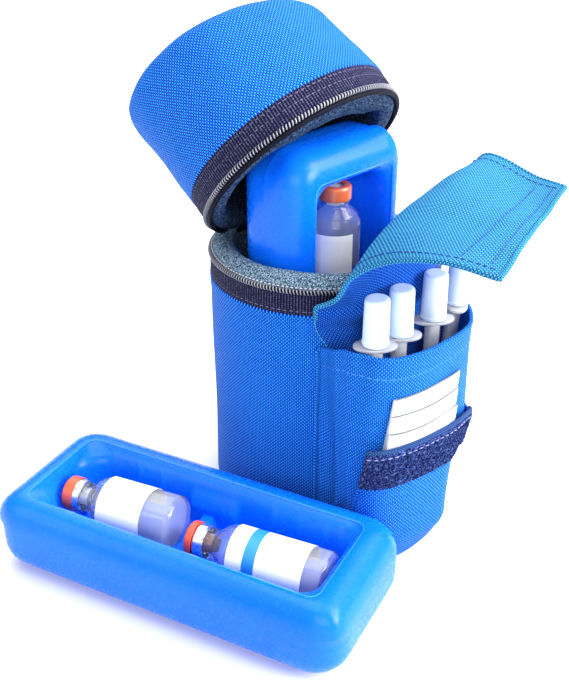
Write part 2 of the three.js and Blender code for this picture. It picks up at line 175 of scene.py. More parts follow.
def lathe(prof, n=72, closed=False, a0=0.0, a1=2 * pi, ref=None):
    """Turned solid about Z. Profile of (r, z), from axis to axis, or closed on itself."""
    prof = np.asarray(prof, float)
    full = abs(a1 - a0 - 2 * pi) < 1e-6
    A = a0 + (a1 - a0) * np.arange(n if full else n + 1) / n
    S = np.stack([np.stack([prof[:, 0] * np.sin(a), prof[:, 0] * np.cos(a), prof[:, 1]], axis=1) for a in A])
    r = ref or float(prof[:, 0].max())
    u = np.concatenate([A, [a1]]) * r
    q = np.concatenate([prof, prof[:1]])
    v = np.concatenate([[0], np.cumsum(np.linalg.norm(np.diff(q, axis=0), axis=1))])
    return loft(S, closed_k=closed, closed_m=full, caps=closed and not full, u=u, v=v)


def tube(path, r, sides=8, closed=False, flat=1.0, up=None):
    """Round or flattened tube along a path."""
    P = np.asarray(path, float)
    n = len(P)
    T = np.roll(P, -1, 0) - np.roll(P, 1, 0) if closed else np.gradient(P, axis=0)
    T = T / np.maximum(np.linalg.norm(T, axis=1, keepdims=True), 1e-9)
    ref = np.tile(np.array([0.0, 0.0, 1.0]), (n, 1)) if up is None else np.asarray(up, float)
    B = np.cross(T, ref)
    bad = np.linalg.norm(B, axis=1) < 1e-3
    B[bad] = np.cross(T[bad], np.array([0.0, 1.0, 0.0]))
    B /= np.linalg.norm(B, axis=1, keepdims=True)
    N = np.cross(B, T)
    a = 2 * pi * np.arange(sides) / sides
    rr = np.full(n, r) if np.isscalar(r) else np.asarray(r, float)
    S = P[:, None] + rr[:, None, None] * (np.cos(a)[None, :, None] * B[:, None] + flat * np.sin(a)[None, :, None] * N[:, None])
    return loft(S, closed_k=True, closed_m=closed, caps=not closed)


def sheet(P, UV, thick, closed_u=False):
    """Cloth of even thickness with rolled edges over the surface P[rows, cols, 3]; UV in mm."""
    P = np.asarray(P, float)
    nv, nu = P.shape[:2]
    if closed_u:
        du = np.roll(P, -1, 1) - np.roll(P, 1, 1)
    else:
        du = np.gradient(P, axis=1)
    dv = np.gradient(P, axis=0)
    N = np.cross(du, dv)
    N /= np.maximum(np.linalg.norm(N, axis=2, keepdims=True), 1e-9)
    A, B = P + N * thick / 2, P - N * thick / 2
    V = [*A.reshape(-1, 3), *B.reshape(-1, 3)]
    F, L = [], []
    cols = nu if closed_u else nu - 1
    o = nv * nu

    def uvat(j, i):
        return tuple(UV[j][i]) if i < len(UV[j]) else tuple(UV[j][-1])

    for j in range(nv - 1):
        for i in range(cols):
            e = (i + 1) % nu
            q = (j * nu + i, j * nu + e, (j + 1) * nu + e, (j + 1) * nu + i)
            c = (uvat(j, i), uvat(j, i + 1), uvat(j + 1, i + 1), uvat(j + 1, i))
            F.append(q)
            L.append(c)
            F.append(tuple(o + x for x in reversed(q)))
            L.append(tuple(reversed(c)))

    def edge(ids, uvs, out, loop):
        """rolled rim from the upper face round to the lower one"""
        n = len(ids)
        base = len(V)
        for x, d in zip(ids, out):
            V.append(P.reshape(-1, 3)[x] + d * thick / 2)
        for k in range(n if loop else n - 1):
            e = (k + 1) % n
            F.append((ids[k], ids[e], base + e, base + k))
            L.append((uvs[k], uvs[k + 1], uvs[k + 1], uvs[k]))
            F.append((base + k, base + e, o + ids[e], o + ids[k]))
            L.append((uvs[k], uvs[k + 1], uvs[k + 1], uvs[k]))
        return base

    def unit(x):
        return x / np.maximum(np.linalg.norm(x, axis=-1, keepdims=True), 1e-9)

    rows = [(0, -1), (nv - 1, 1)]
    for j, s in rows:
        ids = [j * nu + i for i in range(nu)]
        uvs = [uvat(j, i) for i in range(nu + 1)]
        b = edge(ids if s > 0 else ids, uvs, unit(s * dv[j]), closed_u)
        if not closed_u:
            rows_end = (b, b + nu - 1)
            if j == 0:
                low = rows_end
            else:
                high = rows_end
    if not closed_u:
        for i, s, w in ((0, -1, 0), (nu - 1, 1, 1)):
            ids = [j * nu + i for j in range(nv)]
            uvs = [uvat(j, i) for j in range(nv)] + [uvat(nv - 1, i)]
            b = edge(ids, uvs, unit(s * du[:, i]), False)
            for j, r in ((0, low), (nv - 1, high)):
                c = b + j
                F.append((j * nu + i, r[w], c))
                L.append((uvat(j, i),) * 3)
                F.append((c, r[w], o + j * nu + i))
                L.append((uvat(j, i),) * 3)
    return np.array(V), F, L


def join(*parts):
    V, F, L = [], [], []
    n = 0
    for v, f, l in parts:
        V.append(np.asarray(v, float))
        F += [tuple(x + n for x in q) for q in f]
        L += list(l)
        n += len(v)
    return np.concatenate(V), F, L


def moved(part, M):
    return put(part[0], M), part[1], part[2]


def piece(name, part, material, body=None, nodes=(), flatter=None, weld=2e-6, normals=True, under=None):
    """A finished mesh object from a part in mm, welded, faces out, riding on a body."""
    V, F, L = part
    me = bpy.data.meshes.new(name)
    me.from_pydata((np.asarray(V) * MM).tolist(), [], F)
    uv = me.uv_layers.new(name="weave")
    flat = [c for q in L for p in q for c in p]
    uv.data.foreach_set("uv", np.array(flat, np.float32))
    if under:
        me.polygons.foreach_set("material_index", [1 if k in under[1] else 0 for k in range(len(F))])
    bm = bmesh.new()
    bm.from_mesh(me)
    if weld:
        bmesh.ops.remove_doubles(bm, verts=bm.verts, dist=weld)
        bmesh.ops.dissolve_degenerate(bm, edges=bm.edges, dist=1e-8)
    if normals:
        bmesh.ops.recalc_face_normals(bm, faces=bm.faces)
    bm.to_mesh(me)
    bm.free()
    me.polygons.foreach_set("use_smooth", [True] * len(me.polygons))
    if flatter:
        me.set_sharp_from_angle(angle=rad(flatter))
    me.materials.append(material)
    if under:
        me.materials.append(under[0])
    ob = bpy.data.objects.new(name, me)
    scene.collection.objects.link(ob)
    if nodes:
        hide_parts(*nodes)
    if body:
        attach(ob, body)
    return ob


def stitches(pts, nrm, pitch=3.0, length=2.2, r=0.28, lift=0.1, start=0.6):
    """Row of thread stitches along a line on a surface."""
    P, N = np.asarray(pts, float), np.asarray(nrm, float)
    s = np.concatenate([[0], np.cumsum(np.linalg.norm(np.diff(P, axis=0), axis=1))])

    def at(q, X):
        return np.stack([np.interp(q, s, X[:, k]) for k in range(3)], axis=-1)

    out = []
    a = start
    while a + length < s[-1]:
        q = a + length * np.array([0.0, 0.1, 0.3, 0.5, 0.7, 0.9, 1.0])
        rise = r * np.array([-1.1, -0.3, 0.1, 0.2, 0.1, -0.3, -1.1]) + lift
        n = at(q, N)
        n /= np.maximum(np.linalg.norm(n, axis=1, keepdims=True), 1e-9)
        out.append(tube(at(q, P) + n * rise[:, None], r * np.array([0.35, 0.85, 1, 1, 1, 0.85, 0.35]), 6, up=n))
        a += pitch
    return join(*out)


# ------------------------------------------------------------------ materials
class Nodes:
    def __init__(self, name):
        self.m = bpy.data.materials.new(name)
        self.m.use_nodes = True
        self.t = self.m.node_tree
        self.p = self.t.nodes["Principled BSDF"]

    def new(self, kind, **props):
        n = self.t.nodes.new(kind)
        for k, v in props.items():
            setattr(n, k, v)
        return n

    def link(self, a, b):
        self.t.links.new(a, b)

    def put(self, socket, value):
        if isinstance(value, bpy.types.NodeSocket):
            self.link(value, socket)
        else:
            socket.default_value = value

    def math(self, op, a, b=None, c=None, clamp=False):
        n = self.new("ShaderNodeMath", operation=op, use_clamp=clamp)
        for s, v in zip(n.inputs, (a, b, c)):
            if v is not None:
                self.put(s, v)
        return n.outputs[0]

    def mix(self, f, a, b, blend="MIX"):
        n = self.new("ShaderNodeMix", data_type="RGBA", blend_type=blend)
        self.put(n.inputs[0], f)
        for s, v in ((n.inputs[6], a), (n.inputs[7], b)):
            self.put(s, v if isinstance(v, bpy.types.NodeSocket) else (*v, 1.0))
        return n.outputs[2]

    def uv(self):
        return self.new("ShaderNodeUVMap", uv_map="weave").outputs[0]

    def obj(self):
        return self.new("ShaderNodeTexCoord").outputs["Object"]

    def sep(self, v):
        n = self.new("ShaderNodeSeparateXYZ")
        self.link(v, n.inputs[0])
        return n.outputs

    def noise(self, vec, scale, detail=3.0, rough=0.55, distort=0.0):
        n = self.new("ShaderNodeTexNoise")
        self.link(vec, n.inputs["Vector"])
        n.inputs["Scale"].default_value = scale
        n.inputs["Detail"].default_value = detail
        n.inputs["Roughness"].default_value = rough
        n.inputs["Distortion"].default_value = distort
        return n.outputs[0]

    def voronoi(self, vec, scale, feature="F1"):
        n = self.new("ShaderNodeTexVoronoi", feature=feature)
        self.link(vec, n.inputs["Vector"])
        n.inputs["Scale"].default_value = scale
        return n.outputs

    def ramp(self, f, stops):
        n = self.new("ShaderNodeValToRGB")
        self.put(n.inputs[0], f)
        e = n.color_ramp.elements
        while len(e) < len(stops):
            e.new(0.5)
        for q, (at, c) in zip(e, stops):
            q.position = at
            q.color = (*c, 1.0) if len(c) == 3 else c
        return n.outputs[0]

    def range(self, f, a, b, c, d):
        n = self.new("ShaderNodeMapRange")
        self.put(n.inputs[0], f)
        for s, v in zip(n.inputs[1:5], (a, b, c, d)):
            s.default_value = v
        return n.outputs[0]

    def bump(self, h, strength, distance, normal=None):
        n = self.new("ShaderNodeBump")
        n.inputs["Strength"].default_value = strength
        n.inputs["Distance"].default_value = distance
        self.link(h, n.inputs["Height"])
        if normal is not None:
            self.link(normal, n.inputs["Normal"])
        self.link(n.outputs[0], self.p.inputs["Normal"])
        return n.outputs[0]

    def set(self, **k):
        for name, v in k.items():
            self.put(self.p.inputs[name.replace("_", " ")], v)
        return self


def lin(r, g, b):
    """sRGB 0..255 to scene linear."""
    f = lambda x: x / 12.92 if x <= 0.04045 else ((x + 0.055) / 1.055) ** 2.4
    return tuple(f(c / 255.0) for c in (r, g, b))


def woven(name, dark, mid, light, cell=0.79, bump=1.0, contrast=1.2, sheen=0.0):
    """Plain weave: alternate warp and weft pillows; painted shade in the dark gaps and on the weft cells, painted
    highlight on the thread tops; slow colour drift.
    """
    N = Nodes(name)
    u, v, _ = N.sep(N.uv())
    wob = N.noise(N.obj(), 60.0, 2.0)
    a = N.math("ADD", N.math("DIVIDE", u, cell), N.math("MULTIPLY", wob, 0.5))
    b = N.math("ADD", N.math("DIVIDE", v, cell), N.math("MULTIPLY", wob, 0.4))
    fu, fv = N.math("FRACT", a), N.math("FRACT", b)
    par = N.math("FLOORED_MODULO", N.math("ADD", N.math("FLOOR", a), N.math("FLOOR", b)), 2.0)
    su = N.math("SINE", N.math("MULTIPLY", fu, pi))
    sv = N.math("SINE", N.math("MULTIPLY", fv, pi))
    warp = N.math("MULTIPLY", su, N.math("MULTIPLY_ADD", sv, 0.5, 0.5))
    weft = N.math("MULTIPLY", sv, N.math("MULTIPLY_ADD", su, 0.5, 0.5))
    h = N.math("ADD", N.math("MULTIPLY", warp, N.math("SUBTRACT", 1.0, par)), N.math("MULTIPLY", weft, par))
    drift = N.noise(N.obj(), 22.0, 3.0)
    thread = N.noise(N.obj(), 900.0, 2.0)
    # painted shade and highlight: tone rises with thread height, so the gaps fall to the dark stop and the thread tops
    # to the light stop; the weft cells are pulled darker
    tone = N.math("ADD", N.math("MULTIPLY", h, 0.80 * contrast), N.math("MULTIPLY", par, -0.42 * contrast))
    tone = N.math("ADD", tone, N.math("MULTIPLY_ADD", drift, 0.24, 0.10 + 0.20 * (1 - contrast)))
    tone = N.math("ADD", tone, N.math("MULTIPLY_ADD", thread, 0.16, -0.08))
    col = N.ramp(tone, [(0.08, dark), (0.42, mid), (0.78, light)])
    N.set(Base_Color=col, Roughness=N.range(h, 0, 1, 0.8, 0.42))
    N.p.inputs["Sheen Weight"].default_value = sheen
    N.p.inputs["Sheen Roughness"].default_value = 0.45
    N.p.inputs["Sheen Tint"].default_value = (0.55, 0.8, 1.0, 1.0)
    N.p.inputs["Specular IOR Level"].default_value = 0.09
    N.bump(h, bump, 0.00048)
    return N.m


def mottled(name, stops, scale, bump=0.8, distance=0.0004, rough=0.95, fine=2600.0):
    """Foam face, pile and other speckled cloth."""
    N = Nodes(name)
    o = N.obj()
    n1 = N.noise(o, scale, 4.0, 0.75)
    n2 = N.noise(o, fine, 2.0, 0.7)
    f = N.math("ADD", N.math("MULTIPLY", n1, 0.55), N.math("MULTIPLY", n2, 0.45))
    N.set(Base_Color=N.ramp(f, stops), Roughness=N.range(n1, 0.3, 0.7, rough, rough - 0.12))
    N.p.inputs["Specular IOR Level"].default_value = 0.06
    N.bump(f, bump, distance)
    return N.m


def ribbed(name, dark, mid, light, pitch=1.25):
    """Zip tape: fine ribs across its width, flecked thread; the rib tops are painted lighter as painted glints."""
    N = Nodes(name)
    u, v, _ = N.sep(N.uv())
    rib = N.math("MULTIPLY_ADD", N.math("SINE", N.math("MULTIPLY", u, 2 * pi / pitch)), 0.5, 0.5)
    row = N.math("MULTIPLY_ADD", N.math("SINE", N.math("MULTIPLY", v, 2 * pi / 0.95)), 0.5, 0.5)
    fleck = N.noise(N.obj(), 1500.0, 3.0, 0.7)
    h = N.math("MULTIPLY_ADD", row, 0.25, rib)
    # tone: the flecks are the thread's own colour; the rib height lightens the rib tops, a painted glint
    tone = N.math("ADD", N.math("MULTIPLY", h, 0.4), N.math("MULTIPLY_ADD", fleck, 0.9, -0.3))
    N.set(Base_Color=N.ramp(tone, [(0.05, dark), (0.5, mid), (0.9, light)]), Roughness=N.range(fleck, 0.3, 0.7, 0.85, 0.65))
    N.p.inputs["Specular IOR Level"].default_value = 0.08
    N.bump(h, 1.0, 0.0004)
    return N.m


def moulded(name, colour, deep, rough=0.3, coat=0.0, subsurface=0.0, grain=0.02, scale=30.0):
    """Moulded plastic: slow tone drift, fine grain in gloss and surface."""
    N = Nodes(name)
    o = N.obj()
    n1 = N.noise(o, scale, 2.0)
    n2 = N.noise(o, 700.0, 3.0)
    N.set(Base_Color=N.mix(N.range(n1, 0.3, 0.7, 0.0, 1.0), deep, colour), Roughness=N.range(n2, 0.3, 0.7, rough - 0.05, rough + 0.06))
    N.p.inputs["Coat Weight"].default_value = coat
    N.p.inputs["Coat Roughness"].default_value = 0.15
    if subsurface:
        N.p.inputs["Subsurface Weight"].default_value = subsurface
        N.p.inputs["Subsurface Radius"].default_value = (0.002, 0.003, 0.004)
        N.p.inputs["Subsurface Scale"].default_value = 1.0
    N.bump(n2, grain, 0.0004)
    return N.m


def metal(name, colour, rough=0.3):
    N = Nodes(name)
    n = N.noise(N.obj(), 500.0, 3.0)
    N.set(Base_Color=N.mix(N.range(n, 0.3, 0.7, 0.0, 1.0), tuple(0.75 * c for c in colour), colour), Roughness=N.range(n, 0.3, 0.7, rough - 0.06, rough + 0.08))
    N.p.inputs["Metallic"].default_value = 1.0
    N.bump(n, 0.05, 0.0002)
    return N.m


def clear(name, tint, ior=1.5, rough=0.02, haze=0.0, milk=0.0):
    """Glass, liquid and clear plastic."""
    N = Nodes(name)
    n = N.noise(N.obj(), 45.0, 2.0)
    N.set(Base_Color=N.mix(N.range(n, 0.3, 0.7, 0.0, 1.0), tuple(0.97 * c for c in tint), tint), Roughness=N.range(n, 0.3, 0.7, rough, rough + haze))
    N.p.inputs["Transmission Weight"].default_value = 1.0 - milk
    N.p.inputs["IOR"].default_value = ior
    return N.m


def paper(name, colour, bands=()):
    """Label or packet paper: faint fibres; bands are plain stripes (v0, v1, colour) in mm."""
    N = Nodes(name)
    o = N.obj()
    n = N.noise(o, 350.0, 4.0, 0.7)
    col = N.mix(N.range(n, 0.3, 0.7, 0.0, 1.0), tuple(0.94 * c for c in colour), colour)
    if bands:
        u, v, _ = N.sep(N.uv())
        for u0, u1, v0, v1, c in bands:
            f = N.math("MULTIPLY", N.math("MULTIPLY", N.math("GREATER_THAN", v, v0), N.math("LESS_THAN", v, v1)),
                       N.math("MULTIPLY", N.math("GREATER_THAN", u, u0), N.math("LESS_THAN", u, u1)))
            col = N.mix(f, col, c)
    N.set(Base_Color=col, Roughness=N.range(n, 0.3, 0.7, 0.6, 0.48))
    N.bump(n, 0.08, 0.0002)
    return N.m


CLOTH = woven("cloth_blue", lin(0, 14, 132), lin(0, 58, 222), lin(50, 164, 255), contrast=1.5)
# flap cloth: the same blue weave painted lighter and cyan, a lit copy of the cloth (painted light)
FLAP = woven("flap_cloth_painted_light", lin(0, 20, 78), lin(8, 84, 174), lin(84, 194, 234), contrast=1.5)
FOAM = mottled("foam_face", [(0.40, lin(14, 22, 48)), (0.5, lin(62, 84, 116)), (0.60, lin(170, 200, 212))], 1300.0)
# the same blue weave painted darker, a shaded copy of the cloth for the flap's lower face (painted shade)
CLOTH_PAINTED_SHADE = woven("cloth_painted_shade", lin(0, 10, 92), lin(2, 52, 190), lin(48, 136, 240))
LID_FOAM = mottled("lid_foam_face", [(0.42, lin(4, 9, 28)), (0.50, lin(20, 34, 64)), (0.60, lin(92, 122, 150))], 1100.0)
TAPE = ribbed("zip_tape", lin(4, 5, 24), lin(26, 28, 62), lin(124, 120, 152))
COIL = moulded("zip_coil", lin(168, 168, 180), lin(92, 94, 112), rough=0.36, coat=0.25)
CORE = moulded("zip_core", lin(10, 11, 28), lin(6, 7, 18), rough=0.7)
CORE.node_tree.nodes["Principled BSDF"].inputs["Specular IOR Level"].default_value = 0.12
# near-white stitch thread along the coil, bright enough to also stand for the coil's white glints: thread colour plus
# painted highlight
THREAD_WITH_PAINTED_GLINT = moulded("coil_painted_glint_thread", lin(214, 214, 226), lin(176, 178, 196), rough=0.6)
PILE = mottled("loop_pile", [(0.40, lin(3, 10, 46)), (0.51, lin(22, 38, 98)), (0.63, lin(106, 128, 188))], 1000.0, bump=1.0, distance=0.0007)
HOOKS = mottled("hook_face", [(0.36, lin(14, 16, 44)), (0.55, lin(32, 34, 78)), (0.7, lin(84, 84, 130))], 1600.0, bump=1.0)
BIND = woven("binding", lin(12, 30, 84), lin(34, 66, 132), lin(70, 110, 172), cell=0.6)
THREAD_BLUE = moulded("thread_blue", lin(16, 78, 196), lin(8, 48, 150), rough=0.6)
THREAD_LIGHT = moulded("thread_light", lin(70, 150, 238), lin(44, 122, 226), rough=0.6)
THREAD_FLAP = moulded("thread_flap", lin(14, 74, 168), lin(8, 54, 142), rough=0.6)
THREAD_PALE = moulded("thread_pale", lin(150, 156, 200), lin(110, 118, 172), rough=0.6)
THREAD_DIM = moulded("thread_dim", lin(108, 102, 138), lin(66, 64, 104), rough=0.7)
PACK = moulded("pack_plastic", lin(8, 110, 250), lin(4, 100, 248), rough=0.26, subsurface=0.65, scale=14.0, grain=0.0)
PACK.node_tree.nodes["Principled BSDF"].inputs["Subsurface Radius"].default_value = (0.35, 1.0, 2.0)
PACK.node_tree.nodes["Principled BSDF"].inputs["Subsurface Scale"].default_value = 0.006
PACK.node_tree.nodes["Principled BSDF"].inputs["Specular IOR Level"].default_value = 0.17
# lighter pack plastic for the thin bead on the recess crease: a painted highlight along the crease edge
PACK_PAINTED_HIGHLIGHT = moulded("pack_edge", lin(44, 146, 251), lin(34, 134, 250), rough=0.3, subsurface=0.2)
GEL = moulded("gel", lin(206, 230, 250), lin(186, 216, 244), rough=0.2)
GLASS = clear("vial_glass", (0.985, 0.99, 0.995), 1.10, 0.0, 0.01, 0.05)
GLASS.node_tree.nodes["Principled BSDF"].inputs["Coat Weight"].default_value = 0.45
LIQUID = clear("vial_liquid", (0.93, 0.965, 1.0), 1.08, 0.0, 0.01, 0.18)
LIQUID_CLEAR = clear("vial_liquid_clear", (0.97, 0.985, 1.0), 1.06, 0.0, 0.01, 0.05)
STOP_GREY = moulded("stopper_grey", lin(204, 210, 218), lin(184, 190, 200), rough=0.7)
STOP_RED = moulded("stopper_red", lin(118, 12, 30), lin(88, 6, 22), rough=0.5)
CRIMP_ORANGE = moulded("crimp_orange", lin(206, 104, 62), lin(182, 84, 48), rough=0.32, coat=0.3)
CRIMP = metal("crimp_silver", (0.86, 0.87, 0.89), 0.28)
CAP = moulded("cap_orange", lin(226, 92, 48), lin(206, 74, 38), rough=0.38, coat=0.15)
CAP_RED = moulded("cap_red", lin(222, 78, 44), lin(200, 58, 34), rough=0.38, coat=0.15)
LABEL = paper("label_plain", (0.93, 0.93, 0.92))
LABEL_BAND = paper("label_band", (0.94, 0.94, 0.93), ((-100, 100, 28.6, 33.8, lin(34, 134, 182)),))
BARREL = clear("syringe_clear", (0.97, 0.985, 1.0), 1.16, 0.06, 0.05, 0.29)
BARREL.node_tree.nodes["Principled BSDF"].inputs["Coat Weight"].default_value = 0.6
FROST = moulded("syringe_cap", lin(204, 219, 240), lin(192, 210, 236), rough=0.42, subsurface=0.3)
ROD = moulded("plunger_white", lin(240, 242, 244), lin(226, 230, 234), rough=0.4, subsurface=0.2)
NEEDLE = moulded("needle_cover", lin(236, 112, 40), lin(216, 92, 28), rough=0.4)
# packet paper: the dark band along the top edge is a printed border; the grey-blue band along the left edge is painted
# shade
SWAB = paper("swab_paper", (0.90, 0.905, 0.91), ((-1, 37, 49.0, 60, lin(96, 100, 110)), (-1, 0.7, -1, 60, lin(150, 160, 176))))
STEEL = metal("zip_metal", (0.72, 0.73, 0.76), 0.32)

# ------------------------------------------------------------------ dimensions shared with the solids
BODY_R, RIM_Z, SLEEVE_TOP = 47.5, 118.0, 105.6
LID_OPEN, LID_AZ, LID_LEAN, MOUTH_Z, HINGE_R, HINGE_Z, HINGE_HALF = 50.0, -4.0, 8.0, 118.3, 40.0, 131.0, 24.0
LID_H = 57.5
HP = np.array([HINGE_R * math.sin(rad(LID_AZ)), HINGE_R * math.cos(rad(LID_AZ)), HINGE_Z])
HAX = Vector((-math.cos(rad(LID_AZ)), math.sin(rad(LID_AZ)), -math.tan(rad(LID_LEAN)))).normalized()
LID = move(*HP) @ arr(Matrix.Rotation(rad(LID_OPEN), 4, HAX)) @ move(*-HP) @ move(0, 0, MOUTH_Z)


def round_up(n, length):
    return [(i / n) * length for i in range(n + 1)]


def ring_grid(R, zs, n, bend=None):
    """Points of a cloth tube: rows over zs, columns round the axis; R(az, z) in mm."""
    A = 2 * pi * np.arange(n) / n
    P = np.zeros((len(zs), n, 3))
    for j, z in enumerate(zs):
        r = np.array([R(a, z) for a in A])
        P[j] = np.stack([r * np.sin(A), r * np.cos(A), np.full(n, z)], axis=1)
    UV = [[(2 * pi * 47.5 * i / n, z) for i in range(n + 1)] for z in zs]
    return P, UV


# ------------------------------------------------------------------ case body
def sleeve_radius(a, z):
    r = 46.9 + 0.45 * float(smooth(98, 104, z))
    if z < 3.2:
        r -= 3.2 - math.sqrt(max(0.0, 3.2 ** 2 - (3.2 - z) ** 2))
    dent = 0.35 * math.sin(3 * a + z / 31.0) * math.sin(pi * min(1, z / 105)) + 0.2 * math.sin(7 * a - z / 17.0) * math.sin(pi * min(1, z / 105))
    return r + min(0.25, dent)


zs = [0.7, 0.9, 1.4, 2.2, 3.2] + list(np.linspace(5, SLEEVE_TOP, 44))
P, UV = ring_grid(sleeve_radius, zs, 168)
sleeve = piece("case_sleeve", sheet(P, UV, 1.1, True), CLOTH, "case", ["case_shell"])


def disc(R, z, thick, rings=14, n=120):
    """Round cloth piece lying flat, rolled edge, slightly domed between."""
    prof = [(0, z + thick / 2)] + [(R * k / rings, z + thick / 2 + 0.12 * math.sin(pi * k / rings)) for k in range(1, rings)] + \
        [(R - 0.1, z + thick * 0.45), (R, z), (R - 0.1, z - thick * 0.45)] + [(R * k / rings, z - thick / 2) for k in range(rings - 1, 0, -1)] + [(0, z - thick / 2)]
    v, f, l = lathe(prof, n)
    l = [tuple((float(v[i][0]), float(v[i][1])) for i in q) for q in f]
    return v, f, l


base = piece("case_base", disc(44.6, 0.62, 1.2), CLOTH, "case", [])

def dense_lathe(prof, n=150, step=5.0, closed=False):
    """Turned part with extra rows on long runs."""
    pts = list(prof) + ([prof[0]] if closed else [])
    out = [pts[0]]
    for a, b in zip(pts[:-1], pts[1:]):
        k = max(1, int(np.linalg.norm(b - a) // step))
        out += [a + (b - a) * (i + 1) / k for i in range(k)]
    if closed:
        out = out[:-1]
    return lathe(np.array(out), n, closed)


V, F, L = dense_lathe(fillet([(0, 1.75), (45.3, 1.75), (46.0, 3.0), (46.0, 113.6), (44.6, 115.0), (40.0, 115.0), (38.6, 113.6), (38.5, 108.0), (40.8, 90.0), (40.8, 12.0), (39.0, 6.0), (0, 6.0)],
                             [0, 1, 1, 1, 1, 1, 1, 6, 10, 4, 4, 0], 5))
foam = piece("case_foam_lining", (V, F, L), FOAM, "case", ["case_foam"])
V, F, L = dense_lathe(fillet([(46.3, 112.6), (46.5, 116.6), (45.9, 119.6), (43.4, 121.9), (40.2, 122.4), (37.4, 120.0), (36.9, 116.0), (37.6, 112.6)], [0.3, 2, 2, 2.2, 2.2, 2, 2, 0.3], 6, True), 190, 1.4, True)
V[:, 2] += smooth(113.5, 118.0, V[:, 2]) * (wave(V, 11.0, 0.5, 3.0) + wave(V, 2.2, 0.16, 8.0))
rr = np.linalg.norm(V[:, :2], axis=1)
V[:, :2] *= (1 + (wave(V, 14.0, 0.45, 5.0) + wave(V, 2.0, 0.14, 1.0)) / rr)[:, None]
front = 1 - smooth(34, 62, np.abs(np.degrees(np.arctan2(V[:, 0], -V[:, 1]))))
V[:, :2] *= (1 + 2.2 * front * (1 - smooth(38.5, 43.5, rr)) / rr)[:, None]
lip = piece("case_foam_lip", (V, F, L), FOAM, "case", [])
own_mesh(lip)


def tape_ring(z0, z1, M=None, bulge=0.25):
    zs = np.linspace(z0, z1, 12)
    P, UV = ring_grid(lambda a, z: 46.95 + bulge * math.sin(pi * (z - z0) / (z1 - z0)), zs, 168)
    part = sheet(P, UV, 0.8, True)
    return part if M is None else moved(part, M)


def circle(r, z, a0, a1, n):
    A = np.linspace(a0, a1, n)
    return np.stack([r * np.sin(A), r * np.cos(A), np.full(n, z)], axis=1), np.stack([np.sin(A), np.cos(A), 0 * A], axis=1)


def coil_ring(r, z, a0, a1, hand=1, dr=0.72, dz=0.82, pitch=1.4, wire=0.28):
    n = int((a1 - a0) * r / pitch)
    k = np.arange(n * 10 + 1)
    A = a0 + (a1 - a0) * k / (n * 10)
    q = 2 * pi * k / 10
    rr, zz = r + dr * np.cos(q), z + dz * np.sin(q) * hand
    return tube(np.stack([rr * np.sin(A), rr * np.cos(A), zz], axis=1), wire, 6)


# ring of short light stitches on top of the coil; their near-white colour is partly thread, partly painted glint
def thread_ring_with_painted_glint(r, z, a0, a1, pitch=1.9, size=0.26):
    p, n = circle(r, z, a0, a1, 400)
    return stitches(p, np.tile([0, 0, 1.0], (400, 1)), pitch, pitch * 0.5, size, 0.05)


A0, A1 = rad(LID_AZ + HINGE_HALF), rad(LID_AZ - HINGE_HALF + 360)
tape = piece("case_zip_band", tape_ring(104.4, 115.3), TAPE, "case", ["case_zip_tape"])
p, n = circle(47.5, 107.6, 0, 2 * pi, 500)
piece("case_band_thread", stitches(p, n, 2.6, 1.8, 0.18, 0.0), THREAD_DIM, "case", [])
piece("case_zip_spiral", coil_ring(47.55, 116.3, A0, A1), COIL, "case", ["case_zip_coil"])
piece("case_zip_core", tube(circle(47.5, 116.2, A0, A1, 400)[0], 0.85, 8), CORE, "case", [])
piece("case_zip_painted_glint_thread", thread_ring_with_painted_glint(46.75, 117.7, A0, A1), THREAD_WITH_PAINTED_GLINT, "case", [])


# ------------------------------------------------------------------ lid
def lid_lean(P):
    """The soft dome settles back and to one side above its mouth band."""
    P = np.array(P, float)
    h = np.clip((P[..., 2] - 14.0) / (LID_H - 14.0), 0, 1.1)
    x = P[..., 0].copy()
    P[..., 2] += -7.0 * h * x / 47.4
    P[..., 0] += 1.0 * h - 5.0 * h ** 1.2 * np.clip(x / 47.4, 0, 1) ** 2
    P[..., 1] += 8.0 * h
    return P


def dome(outer, n=168):
    """Rows of (r, z) from the mouth band up over the top to the middle."""
    prof = fillet([(outer + 0.45, 13.0), (outer + 0.6, 26.0), (outer + 0.4, LID_H - 4.6), (outer - 2.8, LID_H - 0.8), (24.0, LID_H + 0.1), (0.3, LID_H + 0.2)], [0, 10, 6, 6, 10, 0], 7)
    return even(prof, 46)


prof = dome(46.9)
A = 2 * pi * np.arange(168) / 168
P = np.stack([np.stack([r * np.sin(A), r * np.cos(A), np.full(168, z)], axis=1) for r, z in prof])
h = smooth(14, 34, P[..., 2])
rim = np.linalg.norm(P[..., :2], axis=2, keepdims=True)
dirs = P[..., :2] / np.maximum(rim, 1e-6)
sag = h * (wave(P, 26.0, 1.1, 2.0) + wave(P, 12.0, 0.45, 7.0))
P[..., :2] += dirs * sag[..., None] * np.clip(rim / 30.0, 0, 1)
P[..., 2] += smooth(LID_H - 6, LID_H, P[..., 2]) * wave(P, 30.0, 1.3, 4.0) * np.clip(1.2 - rim[..., 0] / 60.0, 0, 1)
P = lid_lean(P)
run = np.concatenate([[0], np.cumsum(np.linalg.norm(np.diff(prof, axis=0), axis=1))])
side = run[int(np.argmax(prof[:, 0] < 40.0))]
UV = []
for j in range(len(prof)):
    r = prof[j, 0]
    if run[j] < side:
        UV.append([(2 * pi * 47.5 * i / 168, run[j]) for i in range(169)])
    else:
        UV.append([(r * math.sin(2 * pi * i / 168), r * math.cos(2 * pi * i / 168)) for i in range(169)])
shell = sheet(P, UV, 1.1, True)
lid_shell = piece("lid_cover", moved(shell, LID), CLOTH, "lid", ["lid_shell"])

